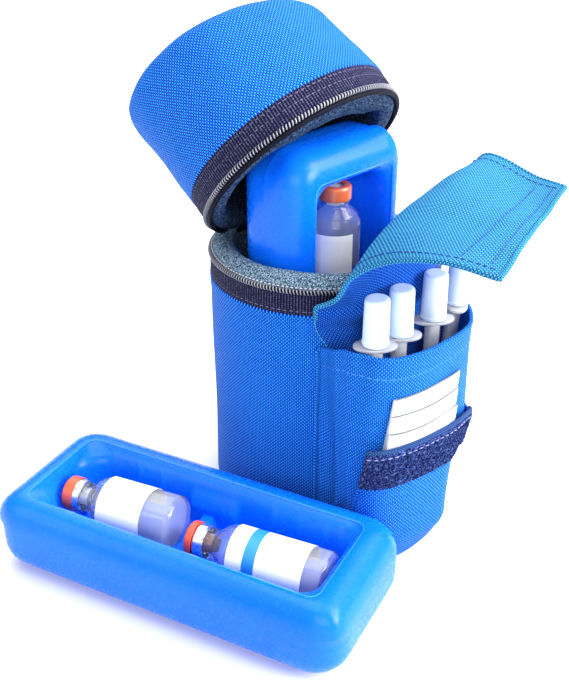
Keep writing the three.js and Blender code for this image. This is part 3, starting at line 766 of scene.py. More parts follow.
V, F, L = dense_lathe(fillet([(0, 55.0), (33.0, 54.2), (40.0, 52.2), (44.4, 47.5), (46.0, 42.0), (46.0, 5.0), (46.2, 2.0), (44.6, 0.0), (41.6, -0.3), (38.4, 0.7), (37.0, 3.4), (37.2, 8.0), (41.3, 24.0), (41.3, 40.0), (39.6, 45.8), (34.0, 48.8), (0, 49.6)],
                             [0, 4, 4, 4, 4, 2, 1.2, 1.5, 1.5, 1.5, 2, 4, 6, 4, 4, 4, 0], 5), 170, 3.0)
rr = np.linalg.norm(V[:, :2], axis=1)
front = 1 - smooth(30, 56, np.abs(np.degrees(np.arctan2(V[:, 0], -V[:, 1]))))
swell = 6.5 * front * (1 - smooth(38.0, 44.4, rr)) * (1 - smooth(9.0, 26.0, V[:, 2]))
V[:, :2] *= (1 - swell / np.maximum(rr, 1.0))[:, None]
low = 1 - smooth(3.0, 10.0, V[:, 2])
V[:, 2] += low * (wave(V, 9.0, 0.3, 3.0) + wave(V, 2.2, 0.14, 6.0))
lid_foam = piece("lid_foam_lining", moved((lid_lean(V), F, L), LID), LID_FOAM, "lid", ["lid_foam"])
lid_tape = piece("lid_zip_band", tape_ring(2.6, 15.0, LID), TAPE, "lid", ["lid_zip_tape"])
for z in (11.2, 7.8):
    p, n = circle(47.52, z, 0, 2 * pi, 500)
    piece("lid_band_thread_%d" % (z * 10), moved(stitches(p, n, 2.6, 1.7, 0.16, 0.0), LID), THREAD_DIM, "lid", [])
piece("lid_zip_spiral", moved(coil_ring(47.55, 1.9, A0, A1, -1), LID), COIL, "lid", ["lid_zip_coil"])
piece("lid_zip_core", moved(tube(circle(47.5, 1.9, A0, A1, 400)[0], 0.85, 8), LID), CORE, "lid", [])
piece("lid_mouth_edge", moved(tube(circle(46.5, 0.0, 0, 2 * pi, 400)[0][:-1], 1.0, 8, True), LID), CORE, "lid", [])

# cloth hinge: from the back of the sleeve up and over to the lid's band
rows, cols = 26, 30
half = rad(HINGE_HALF - 2.0)
P = np.zeros((rows, cols, 3))
for i in range(cols):
    a = rad(LID_AZ) + half * (2 * i / (cols - 1) - 1)
    d = np.array([math.sin(a), math.cos(a), 0.0])
    low = [d * 48.7 + [0, 0, z] for z in (97.0, 103.0, 109.0, 113.0)]
    lidside = [put(d * 48.5 + [0, 0, z], LID) for z in (2.2, 5.5, 9.0)]
    gap = np.linalg.norm(lidside[0] - low[-1])
    mid = (low[-1] + lidside[0]) / 2 + d * (1.5 + 0.10 * gap) + [0, 0, 1.0]
    line = even(curve(low + [mid] + lidside, 60), rows)
    P[:, i] = line
UV = [[(i * 1.25, j * 1.2) for i in range(cols + 1)] for j in range(rows)]
hinge = piece("hinge_cloth", sheet(P, UV, 0.8), TAPE, None, ["hinge_tape"])
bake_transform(hinge)
area = 0.0
for j in range(rows - 1):
    for i in range(cols - 1):
        area += np.linalg.norm(np.cross(P[j, i + 1] - P[j, i], P[j + 1, i] - P[j, i]))

# ------------------------------------------------------------------ front pouch
POUCH = [[-33.5, -30], [-38.6, -40], [-40.5, -50], [-38.8, -61], [-32.5, -69.5], [-21, -74.2], [-6, -75.5], [8.5, -74.6], [19, -71.2], [27.5, -64.3], [32.5, -54.5], [34.4, -44], [33.5, -32]]
wall = even(curve(POUCH, 400), 150)
d = np.gradient(wall, axis=0)
d /= np.linalg.norm(d, axis=1, keepdims=True)
out = np.stack([d[:, 1], -d[:, 0]], axis=1)
arc = np.concatenate([[0], np.cumsum(np.linalg.norm(np.diff(wall, axis=0), axis=1))])
w01 = arc / arc[-1]


def pouch_point(k, z, off):
    """Point on the pouch wall: k column, z height, off outward from the mid-line of the cloth."""
    w = w01[k]
    b = off
    t = max(0.0, 1 - z / 46.0)
    b -= 7.0 * (1 - float(smooth(26, 56, z))) * (0.5 + 0.5 * float(smooth(0, 16, z))) * float(smooth(0.48, 0.66, w)) * (1 - 0.6 * float(smooth(0.9, 1.0, w)))
    b -= 3.8 * t * t * float(smooth(0.30, 0.52, w)) * (1 - 0.5 * float(smooth(0.86, 1.0, w)))
    b -= 1.5 * t * t * (1 - float(smooth(0.30, 0.52, w))) * float(smooth(0.04, 0.2, w))
    b -= 1.4 * float(smooth(0.62, 0.72, w)) * (1 - float(smooth(0.9, 0.98, w)))
    for c, g, a, q in ((0.080, 0.040, 5.4, 0.0), (0.158, 0.022, 2.2, 1.1), (0.225, 0.026, 1.2, 2.3)):
        b -= a * math.exp(-((w - c - 0.010 * math.sin(z / 23.0 + q)) / g) ** 2) * (0.7 + 0.3 * math.sin(z / 19.0 + q))
    b += 0.35 * math.sin(z / 19.0 + 9 * w) * float(smooth(62, 72, z)) * (1 - float(smooth(90, 98, z)))
    x, y = wall[k] + out[k] * b
    if z < 3:
        x, y = np.array([x, y]) - out[k] * (3 - math.sqrt(max(0, 9 - (3 - z) ** 2)))
    h = math.hypot(x, y)
    if h < 48.3:
        x, y = x / h * 48.3, y / h * 48.3
    return x, y, z


def mouth_drop(w):
    """How far the pouch mouth sags at its two ends."""
    return 8.0 * (1 - float(smooth(0.0, 0.2, w))) + 1.5 * float(smooth(0.9, 1.0, w))


zs = [0.8, 1.2, 2.0, 3.0] + list(np.linspace(5, 97.6, 44)) + [98.6, 99.3]
NZ = len(zs)


def pouch_at(k, z, off):
    f = float(smooth(55, 99.3, z))
    x, y, _ = pouch_point(k, z, off)
    return x, y, z - mouth_drop(w01[k]) * f


P = np.array([[pouch_at(k, z, -0.75) for k in range(150)] for z in zs])
UV = [[(arc[k], z) for k in range(150)] for z in zs]
pouch = piece("pouch_wall", sheet(P, UV, 1.3), CLOTH, "case", ["pocket_pouch"])
# rolled hem over the mouth and its stitch line
top = P[-1] + [0, 0, 0.1]
piece("pouch_hem", tube(top, 1.0, 8), CLOTH, "case", [])
jj = int(np.argmin(np.abs(np.array(zs) - 91.2)))
nr = np.concatenate([out, np.zeros((150, 1))], axis=1)
piece("pouch_hem_thread", stitches(P[jj] + nr * 0.6, nr, 3.1, 2.3, 0.22, 0.03), THREAD_LIGHT, "case", [])
for k, nm in ((2, "left"), (147, "right")):
    line = P[:, k] + nr[k] * 0.65
    piece("pouch_seam_%s" % nm, stitches(line, np.tile(nr[k], (len(line), 1)), 3.2, 2.3, 0.24, 0.06), THREAD_BLUE, "case", [])
# floor of the pouch
poly = [tuple(pouch_point(k, 1.4, -1.2)[:2]) for k in range(0, 150, 2)]
poly = [q for q in poly if math.hypot(*q) > 48.2]
a0, a1 = math.atan2(poly[-1][0], -poly[-1][1]), math.atan2(poly[0][0], -poly[0][1])
back = [(48.2 * math.sin(a), -48.2 * math.cos(a)) for a in np.linspace(a0, a1, 24)[1:-1]]
ringpts = np.array(poly + back)
ctr = ringpts.mean(axis=0)
S = [np.concatenate([ctr + (ringpts - ctr) * f, np.full((len(ringpts), 1), z)], axis=1) for f, z in ((0.02, 1.0), (0.5, 0.9), (0.9, 0.7), (0.985, 0.7), (0.995, 1.1), (0.985, 1.5), (0.9, 1.6), (0.5, 1.8), (0.02, 1.9))]
v, f, l = loft(np.array(S), True, False, True)
l = [tuple((float(v[i][0]), float(v[i][1])) for i in q) for q in f]
floor_piece = piece("pouch_floor", (v, f, l), CLOTH, "case", [])

# ------------------------------------------------------------------ swab pocket and loop strip
SWAB_WALL = [[-40.6, -57.5], [-41.2, -65.5], [-37.2, -71.8], [-27, -76.8], [-10, -79.6], [4, -79.4], [13.5, -77.4], [20.5, -73.4], [26.5, -66.5]]
sw = even(curve(SWAB_WALL, 300), 110)
d = np.gradient(sw, axis=0)
d /= np.linalg.norm(d, axis=1, keepdims=True)
so = np.stack([d[:, 1], -d[:, 0]], axis=1)
sarc = np.concatenate([[0], np.cumsum(np.linalg.norm(np.diff(sw, axis=0), axis=1))])
s01 = sarc / sarc[-1]
near = [int(np.argmin(np.linalg.norm(wall - q, axis=1))) for q in sw]
near = np.interp(np.arange(110), [0, 109], [near[0], near[-1]]).round().astype(int)


def swab_point(q, z, off):
    """Point on the swab pocket: q 0..1 across, z height; it leans back onto the pouch low down."""
    k = q * 109.0
    i = min(int(k), 108)
    f = k - i
    pull = (1.2 + min(7.0, 0.19 * max(0.0, 57.0 - z))) * float(smooth(0.56, 0.78, q))
    xy = sw[i] * (1 - f) + sw[i + 1] * f + (so[i] * (1 - f) + so[i + 1] * f) * (off - pull)
    kk = near[0] + (near[-1] - near[0]) * q
    a = int(kk)
    g = kk - a
    lo = np.array(pouch_point(a, min(z, 60), off + 1.7)[:2]) * (1 - g) + np.array(pouch_point(min(a + 1, 149), min(z, 60), off + 1.7)[:2]) * g
    far = float(smooth(0.66, 0.84, q))
    h = float(smooth(2 + 10 * far, 16 + 30 * far, z))
    x, y = xy * h + lo * (1 - h)
    arch = (4.2 * math.sin(pi * min(1, q * 1.02) ** 0.85) + 1.0 * q - 3.8 * float(smooth(0.7, 0.95, q))) * float(smooth(10, 44, z))
    return np.array([x, y, z + arch])


def swab_normal(q):
    k = min(q * 109.0, 108.999)
    i = int(k)
    n = so[i] * (1 - (k - i)) + so[i + 1] * (k - i)
    return np.array([n[0], n[1], 0.0])


def swab_left(z):
    """The pocket's left edge slants outward going down."""
    return 0.10 * float(smooth(8, 57, z)) ** 1.2


zs2 = [1.6, 2.2, 3.4] + list(np.linspace(5, 55.6, 34)) + [56.4, 57.0]
P = np.array([[swab_point(swab_left(z) + (1 - swab_left(z)) * c, z, -0.6) for c in np.linspace(0, 1, 120)] for z in zs2])
UV = [[(sarc[-1] * (swab_left(z) + (1 - swab_left(z)) * c), z) for c in np.linspace(0, 1, 120)] for z in zs2]
swab_pocket = piece("swab_pocket_wall", sheet(P, UV, 1.1), CLOTH, "case", ["swab_pocket"])
Q0, Q1 = 0.10, 0.912
qs = np.linspace(Q0, Q1, 90)
SN = np.array([swab_normal(q) for q in qs])
line = np.array([swab_point(q, 57.3, 0.1) for q in qs])
piece("swab_pocket_binding", tube(line, 1.0, 10, flat=1.0, up=SN), BIND, "case", [])
line = np.array([swab_point(swab_left(z), z, -0.1) for z in np.linspace(3, 56, 40)])
piece("swab_pocket_seam", stitches(line + SN[0] * 0.2, np.tile(SN[0], (40, 1)), 3.1, 2.2, 0.2, 0.05), THREAD_BLUE, "case", [])
line = np.array([swab_point(swab_left(z), z, 0.0) for z in np.linspace(3.4, 57, 40)])
piece("swab_pocket_edge", tube(line, 0.8, 8, up=np.tile(SN[0], (40, 1))), CLOTH, "case", [])
# loop strip, a thick pile tape a little proud of the pocket
zz = list(np.linspace(40.2, 56.6, 14))
slant = {z: swab_left(z) + (Q1 - swab_left(z)) * np.linspace(0, 1, 90) for z in zz}
P = np.array([[swab_point(q, z, 0.6) + swab_normal(q) * 0.1 * math.sin(7 * z + 300 * q) for q in slant[z]] for z in zz])
UV = [[(sarc[-1] * q, z) for q in qs] for z in zz]
strip = piece("loop_strip_tape", sheet(P, UV, 1.1), PILE, "case", ["loop_strip"])
# short standing loops of the pile
rng = np.random.default_rng(5)
tufts = []
for _ in range(1500):
    z = rng.uniform(40.6, 55.0)
    q = rng.uniform(swab_left(z) + 0.004, Q1 - 0.004)
    p0, n0 = swab_point(q, z, 1.1), swab_normal(q)
    t0 = np.cross([0, 0, 1.0], n0)
    a = rng.uniform(0, 2 * pi)
    e = (t0 * math.cos(a) + np.array([0, 0, math.sin(a)])) * rng.uniform(0.25, 0.5)
    up_ = n0 * rng.uniform(0.35, 0.6)
    tufts.append(tube(np.array([p0 - e, p0 - e * 0.6 + up_ * 0.8, p0 + up_, p0 + e * 0.6 + up_ * 0.8, p0 + e]), 0.13, 4, up=np.tile(n0, (5, 1)) + 0.01))
piece("loop_strip_pile", join(*tufts), PILE, "case", [], weld=0, normals=False)
line = np.array([swab_point(q, 54.9, 1.25) for q in qs])
piece("loop_strip_thread", stitches(line, SN, 2.9, 1.9, 0.24, 0.12), THREAD_PALE, "case", [])
for q, nm in ((Q0 + 0.012, "left"), (Q1 - 0.012, "right")):
    line = np.array([swab_point(q + (swab_left(z) - Q0) * (nm == "left"), z, 1.25) for z in np.linspace(41, 55, 12)])
    piece("loop_strip_thread_" + nm, stitches(line, np.tile(swab_normal(q), (12, 1)), 2.9, 1.9, 0.2, 0.05), THREAD_DIM, "case", [])

# ------------------------------------------------------------------ flap
FLAP_HALF = 48.0


def root_point(r, a, z):
    return [r * math.sin(rad(a)), -r * math.cos(rad(a)), z]


NEAR = [root_point(49.0, -FLAP_HALF, 103), root_point(53.4, -FLAP_HALF, 112), [-39.4, -46.2, 120.0], [-39.2, -52.7, 131.2], [-39, -68.2, 142.0], [-38.4, -93.8, 150.0], [-38, -116, 151.6]]
MIDL = [root_point(49.0, 0, 103), root_point(53.4, 0, 112), [0, -51.0, 134.0], [0, -48.9, 148.4], [0, -61.5, 154.8], [0, -89.2, 154.6], [0, -104.5, 155]]
FAR = [root_point(49.0, FLAP_HALF, 103), root_point(53.4, FLAP_HALF, 112), [39.6, -39.7, 128.3], [39.2, -46.9, 145.4], [38.8, -54.8, 161.2], [38.4, -81.0, 157.6], [38, -93, 157.0]]


def flap_point(s, t):
    n, m, f = (centripetal(c, t) for c in (NEAR, MIDL, FAR))
    r = math.hypot(m[0], m[1])
    a = rad(FLAP_HALF * s)
    q0 = np.array([r * math.sin(a), -r * math.cos(a), m[2]])
    q1 = s * (s - 1) / 2 * n + (1 - s * s) * m + s * (s + 1) / 2 * f
    k = float(smooth(0.13, 0.22, t))
    q = q0 * (1 - k) + q1 * k
    ripple = float(smooth(0.35, 0.6, t)) * (0.5 * math.sin(5.2 * s + 9 * t) + 0.2 * math.sin(11 * s - 6 * t))
    return q + np.array([0, 0, ripple])


fs, ft = np.linspace(-1, 1, 72), np.linspace(0.0, 1.0, 84)
P = np.array([[flap_point(s, t) for s in fs] for t in ft])
P = P + np.array([0, 0, 0])
midrow = P[:, 36]
flen = np.concatenate([[0], np.cumsum(np.linalg.norm(np.diff(midrow, axis=0), axis=1))])
UV = [[(40.0 * s, flen[j]) for s in fs] for j in range(len(ft))]
root = np.array([[root_point(48.75, (FLAP_HALF - 6.5 * (1 - float(smooth(90, 103, z)))) * q, z) for q in fs] for z in np.linspace(76, 101, 10)])
flap_part = sheet(np.concatenate([root, P]), [[(40.0 * q, -27 + 2.7 * j) for q in fs] for j in range(10)] + UV, 1.15)
# the flap's lower faces take the painted-shade copy of the cloth
shadow_side = set(range(0, 2 * 93 * 71, 2))
flap = piece("flap_panel", flap_part, FLAP, None, ["flap_root_panel", "flap_end_panel"], under=(CLOTH_PAINTED_SHADE, shadow_side))
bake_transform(flap)
du, dv = np.gradient(P, axis=1), np.gradient(P, axis=0)
FN = np.cross(du, dv)
FN /= np.linalg.norm(FN, axis=2, keepdims=True)
if FN[60, 36, 2] < 0:
    FN = -FN
area = np.linalg.norm(np.cross(du, dv), axis=2).sum() * 1e-6 + 0.0021


def flap_line(name, idx, mat, side=1, **k):
    p = np.array([P[j, i] + side * FN[j, i] * 0.6 for j, i in idx])
    n = np.array([side * FN[j, i] for j, i in idx])
    o = piece(name, stitches(p, n, **k), mat, None, [])
    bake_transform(o)
    return o


flap_line("flap_hem_near", [(j, 4) for j in range(14, 83)], THREAD_FLAP, r=0.27)
flap_line("flap_hem_far", [(j, 67) for j in range(14, 83)], THREAD_FLAP, r=0.27)
flap_line("flap_strip_line_1", [(79, i) for i in range(6, 66)], THREAD_FLAP, r=0.27)
flap_line("flap_strip_line_2", [(71, i) for i in range(6, 66)], THREAD_FLAP, r=0.27)
for nm, i in (("edge", 0), ("edge_far", 71)):
    o = piece("flap_hem_" + nm, tube(P[6:, i], 1.05, 8), FLAP, None, [])
    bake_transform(o)
o = piece("flap_hem_edge_end", tube(P[83], 1.05, 8), FLAP, None, [])
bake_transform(o)
rows_h = range(65, 78)
Q = np.array([[P[j, i] - FN[j, i] * 1.35 for i in range(7, 65)] for j in rows_h])
UV = [[(40.0 * fs[i], flen[j]) for i in range(7, 65)] for j in rows_h]
hook = piece("hook_strip_tape", sheet(Q, UV, 0.9), HOOKS, "flap", ["hook_strip"])

# ------------------------------------------------------------------ zip slider and pull
SL = turn(-(LID_AZ + HINGE_HALF + 16), "Z")


def rounded_plate(pts, y0, y1, r=0.5, hole=None):
    """Plate in the XZ plane between two depths, edges eased."""
    ring = fillet([np.array(p) for p in pts], r, 5, True)
    c = ring.mean(axis=0)
    S = []
    for f, y in ((0.9, y0), (0.97, y0 + 0.08), (1.0, y0 + 0.25), (1.0, y1 - 0.25), (0.97, y1 - 0.08), (0.9, y1)):
        q = c + (ring - c) * f
        S.append(np.stack([q[:, 0], np.full(len(q), y), q[:, 1]], axis=1))
    return loft(np.array(S), True, False, True)


slider = join(
    rounded_plate([(-4.0, 115.2), (-2.6, 114.3), (2.6, 114.3), (4.4, 115.4), (4.4, 119.2), (2.6, 120.3), (-2.6, 120.3), (-4.0, 119.4)], 49.3, 50.3, 0.8),
    rounded_plate([(2.4, 116.0), (4.0, 116.0), (4.0, 118.6), (2.4, 118.6)], 50.1, 52.2, 0.5))
piece("zip_slider_body", moved(slider, SL), STEEL, "zip_slider", ["zip_slider"], flatter=40)
outer_ring = fillet([np.array(q) for q in ((-13.4, 116.0), (-12.4, 115.2), (-2.0, 115.9), (1.7, 116.2), (1.7, 118.4), (-2.0, 118.7), (-12.4, 119.4), (-13.4, 118.6))], 0.7, 4, True)
inner_ring = fillet([np.array(q) for q in ((-11.9, 116.6), (-11.4, 116.3), (-8.8, 116.5), (-8.5, 116.8), (-8.5, 117.8), (-8.8, 118.1), (-11.4, 118.3), (-11.9, 118.0))], 0.3, 4, True)
inner_ring = inner_ring[: len(outer_ring)]
k = len(outer_ring)
io = even(np.concatenate([inner_ring, inner_ring[:1]]), k + 1)[:-1]
oo = even(np.concatenate([outer_ring, outer_ring[:1]]), k + 1)[:-1]
sh = int(np.argmin(np.linalg.norm(oo - io[0], axis=1)))
oo = np.roll(oo, -sh, 0)
S = np.array([np.stack([q[:, 0], np.full(k, y), q[:, 1]], axis=1) for q, y in
              ((oo, 51.25), (oo, 51.8), (oo * 0.97 + io * 0.03, 51.98), (oo * 0.1 + io * 0.9, 51.98), (io, 51.8), (io, 51.25), (oo * 0.1 + io * 0.9, 51.08), (oo * 0.97 + io * 0.03, 51.08))])
pull = loft(S, True, True, False)
PULLM = SL @ move(1.0, 51.55, 0) @ turn(6, "Z") @ move(-1.0, -51.55, 0)
piece("zip_pull_tab", moved(pull, PULLM), STEEL, "zip_pull", ["zip_pull"], flatter=40)

# ------------------------------------------------------------------ cold packs
PL, PW, PT = 159.6, 69.6, 34.6
DIVIDE = -2.0


def rounded_rect(a, b, r, nl=96, nw=30, nc=10):
    """Outline of a rounded rectangle, always the same number of points."""
    r = max(0.2, min(r, a - 0.1, b - 0.1))
    pts = []
    for cx, cy, q in ((a - r, b - r, 0), (-(a - r), b - r, 1), (-(a - r), -(b - r), 2), (a - r, -(b - r), 3)):
        for k in range(nc):
            t = (q + k / nc) * pi / 2
            pts.append((cx + r * math.cos(t), cy + r * math.sin(t)))
        x0, y0 = pts[-1]
        t = (q + 1) * pi / 2
        start = (cx + r * math.cos(t), cy + r * math.sin(t))
        nxt = ((-(a - r), b), (-a, -(b - r)), (a - r, -b), (a, b - r))[q]
        m = nl if q % 2 == 0 else nw
        for k in range(m):
            f = k / m
            pts.append((start[0] * (1 - f) + nxt[0] * f, start[1] * (1 - f) + nxt[1] * f))
    return np.array(pts)


def wider(q, deep):
    """The recess mouth runs 3 mm further out on one long side; the floor stays where it is."""
    y = q[:, 1]
    q[:, 1] = y - 3.0 * smooth(-35.0, -23.0, y) * (1 - smooth(-15.0, -5.0, y)) * (1 - float(smooth(11.0, 19.0, deep)))
    return q


def pack_mesh():
    S = []
    A, B, rb, rt = PL / 2, PW / 2, 12.0, 12.0
    c = 14.0
    for f in (0.04, 0.3, 0.6, 0.85):
        S.append((rounded_rect((A - rb) * f, (B - rb) * f, 4), 0.25 * (1 - f)))
    for k in range(0, 11):
        q = rad(-90 + 9 * k)
        d_ = rb * (1 - math.cos(q))
        S.append((rounded_rect(A - d_, B - d_, max(4.0, c - 0.7 * d_)), rb + rb * math.sin(q)))
    for z, o in ((13.6, 0), (16.9, 0.0), (17.15, 0.04), (17.3, 0.06), (17.45, 0.04), (17.7, 0.0), (21.2, 0)):
        S.append((rounded_rect(A + o, B + o, c), z))
    T = PT
    for k in range(0, 11):
        q = rad(9 * k)
        d_ = rt * (1 - math.cos(q))
        S.append((wider(rounded_rect(A - d_, B - d_, max(4.0, c - 0.8 * d_)), 0.0), T - rt + rt * math.sin(q)))
    A2, B2 = A - rt, B - rt
    table = ((0.25, 0.2, 0.05, 4.6), (0.5, 0.4, 0.5, 5), (0.75, 0.7, 0.62, 5.5), (1.6, 1.5, 0.95, 6), (2.6, 2.6, 1.7, 7), (3.3, 3.6, 2.9, 8), (3.8, 4.5, 4.7, 9), (4.1, 5.2, 7.2, 9.5), (4.3, 5.7, 10.4, 9.5),
             (4.6, 6.2, 13.6, 9), (5.0, 6.8, 16.4, 8.6), (5.8, 7.6, 18.6, 8), (7.0, 8.8, 20.1, 7), (9.0, 10.4, 20.8, 6), (11.5, 12.2, 21.0, 5), (14.5, 14.6, 21.0, 4), (18.0, 18.0, 21.0, 3), (22.4, 22.3, 21.0, 0.3), (22.6, 22.6, 21.0, 0.2))
    n0 = len(S)
    for ex, ey, dz, cr in table:
        soft = rounded_rect(A2 - ex, B2 - ey, cr + 6.5 * float(smooth(1.0, 4.0, dz)) * (1 - float(smooth(10.0, 20.0, ey))))
        firm = rounded_rect(A2 - ex, B2 - ey, cr)
        side_ = smooth(-14.0, 14.0, firm[:, 0])[:, None]
        S.append((wider(soft * (1 - side_) + firm * side_, dz), T - dz))
    V = np.array([np.concatenate([q, np.full((len(q), 1), z)], axis=1) for q, z in S])
    # low step between the two bays
    for i in range(n0 + 9, len(S) - 1):
        x, z = V[i, :, 0], V[i, :, 2]
        want = T - 21.0 + 6.5 * (1 - smooth(2.2, 4.6, np.abs(x - DIVIDE)))
        V[i, :, 2] = np.where(want > z, want, z)
    # boss and small ribs on one long wall of the recess
    for i in range(n0 + 5, n0 + 17):
        x, y, z = V[i, :, 0], V[i, :, 1], V[i, :, 2]
        low = smooth(6.5, 9.5, T - z)
        boss = (1 - smooth(10.2, 12.6, np.abs(x + 0.4))) * low
        yb = np.minimum(y, 14.2)
        rib = sum(np.exp(-((x - c_) / 0.8) ** 2) for c_ in (-50.0, -38.5, -26.8, 27.4, 39.2, 51.4)) * smooth(3.5, 5.5, T - z) * (1 - smooth(11.5, 14.0, T - z))
        V[i, :, 1] = np.where(y > 0, y * (1 - boss) + yb * boss - 0.9 * rib * smooth(0, 8, y), y)
    return loft(V, True, False, True)


PACK_PART = pack_mesh()
AM = np.array([[0, -1, 0, 0.8], [0, 0, -1, -18.2 + PT], [1, 0, 0, 6.3 + PL / 2], [0, 0, 0, 1.0]])
BM = move(-92.4, -18.9, 0) @ turn(-72.2, "Z")
for nm, M in (("a", AM), ("b", BM)):
    piece("pack_%s_body" % nm, moved(PACK_PART, M), PACK, "pack_" + nm, ["pack_%s_shell" % nm, "pack_%s_gel" % nm], flatter=60)
    # thin bead on the recess crease in the lighter plastic: painted highlight along the crease
    bead = wider(rounded_rect(PL / 2 - 12.55, PW / 2 - 12.4, 4.8), 0.32)
    bead = np.concatenate([bead, np.full((len(bead), 1), PT - 0.32)], axis=1)
    piece("pack_%s_rim_line" % nm, moved(tube(bead, 0.27, 8, True), M), PACK_PAINTED_HIGHLIGHT, "pack_" + nm, [], flatter=60)
    plug = lathe(fillet([(0, 0.0), (3.0, 0.0), (3.7, 0.5), (3.7, 3.0), (0, 3.0)], [0, 0.3, 0.4, 0.2, 0], 4), 40)
    rim = lathe(fillet([(4.0, 0.5), (5.2, 0.35), (5.4, 0.9), (5.4, 3), (4.0, 3)], 0.3, 4, True), 40, True)
    PM = M @ move(-PL / 2 - 0.15, 0, 17.3) @ turn(90, "Y")
    piece("pack_%s_plug_cap" % nm, moved(plug, PM), PACK, "pack_" + nm, ["pack_%s_plug" % nm], flatter=50)
    piece("pack_%s_plug_rim" % nm, moved(rim, PM), PACK, "pack_" + nm, [], flatter=50)


# ------------------------------------------------------------------ vials
def vial(i, R, H, M, crimp, stopper, cap, gap, label):
    hb, e = H - 17.0, R - 1.1
    g = fillet([(0, 0.7), (R * 0.6, 0.5), (R - 1.6, 0.0), (R, 1.6), (R, hb), (R - 1.6, hb + 3.6), (6.4, hb + 6.6), (5.4, hb + 8.2), (5.4, H - 8.8), (6.3, H - 8.2), (6.3, H - 4.6), (3.8, H - 4.6), (3.8, hb + 7.2), (R - 3.0, hb + 2.6), (e, hb - 0.6), (e, 2.2), (R * 0.5, 1.9), (0, 2.0)],
               [0, 1, 1.2, 1.2, 4, 4, 2, 2, 0.4, 0.4, 0.5, 0.5, 2, 3, 3, 1, 1, 0], 5)
    body = "vial_%d" % i
    piece("vial_%d_bottle" % i, moved(lathe(g, 72), M), GLASS, body, ["vial_%d_glass" % i])
    lq = fillet([(0, 2.0), (R * 0.5, 1.95), (e + 0.03, 2.25), (e + 0.03, hb - 3.6), (e - 0.7, hb - 4.1), (0, hb - 4.2)], [0, 0.5, 1, 0.4, 0.4, 0], 4)
    piece("vial_%d_fluid" % i, moved(lathe(lq, 72), M), LIQUID_CLEAR if i == 1 else LIQUID, body, ["vial_%d_liquid" % i])
    st = fillet([(0, H - 9.4), (3.6, H - 9.4), (3.75, H - 4.5), (6.2, H - 4.4), (6.2, H - 2.0), (0, H - 2.0)], [0, 0.5, 0.2, 0.4, 0.5, 0], 4)
    piece("vial_%d_bung" % i, moved(lathe(st, 48), M), stopper, body, ["vial_%d_stopper" % i])
    low_ = 7.0 if i == 1 else 6.0
    cr = fillet([(5.85, H - low_), (6.9, H - low_ - 0.1), (7.0, H - low_ + 0.6), (6.95, H - 2.0), (6.4, H - 1.05), (3.7, H - 1.1), (3.6, H - 1.75), (6.55, H - 1.75), (6.6, H - low_ + 0.6), (5.85, H - low_ + 0.4)], 0.35, 4, True)
    piece("vial_%d_seal" % i, moved(lathe(cr, 64, True), M), crimp, body, ["vial_%d_crimp" % i], flatter=50)
    if cap:
        cs = H - (3.0 if i == 2 else 1.2)
        cp = fillet([(0, H - 0.85), (7.02, H - 0.85), (7.02, cs), (7.35, cs), (7.4, cs + 0.5), (7.3, H + 1.4), (6.3, H + 2.25), (4.6, H + 2.25), (4.2, H + 1.95), (0, H + 1.95)], [0, 0.1, 0.1, 0.1, 0.3, 0.7, 0.6, 0.3, 0.3, 0], 4)
        piece("vial_%d_flip_cap" % i, moved(lathe(cp, 64), M), cap, body, ["vial_%d_cap" % i], flatter=50)
    a0 = rad(gap + (40 if i == 1 else 70))
    l0, l1 = {1: (5.0, hb - 3.0), 2: (13.0, hb - 1.0), 3: (9.0, hb - 1.5)}[i]
    lb = [(R + 0.12, l0), (R + 0.26, l0), (R + 0.26, l1), (R + 0.12, l1)]
    dense = []
    for q in range(4):
        a, b = np.array(lb[q]), np.array(lb[(q + 1) % 4])
        k = 14 if q in (1, 3) else 1
        dense += [a + (b - a) * t / k for t in range(k)]
    v, f, l = lathe(np.array(dense), 60, True, a0, a0 + rad(150 if i == 1 else 220), R)
    l = [tuple((math.atan2(v[q][0], v[q][1]) * R, float(v[q][2])) for q in face) for face in f]
    piece("vial_%d_paper" % i, moved((v, f, l), M), label, body, ["vial_%d_label" % i], flatter=50)


vial(1, 11.2, 53.0, move(-0.6, -18.2 + 21 - 11.2 - 0.8, 95.2), CRIMP_ORANGE, STOP_GREY, None, 145, LABEL)


def lying(R, H, cap_end, across, skew):
    return BM @ move(cap_end + H + 2.2, across, PT - 21 + R + 0.3) @ turn(skew, "Z") @ turn(-90, "Y")


vial(2, 11.4, 51.6, lying(11.4, 51.6, -60, -2.1, 3), CRIMP, STOP_GREY, CAP, -90, LABEL)
vial(3, 10.6, 59.4, lying(10.6, 59.4, 1.8, -3.0, 3), CRIMP, STOP_RED, CAP_RED, -90, LABEL_BAND)

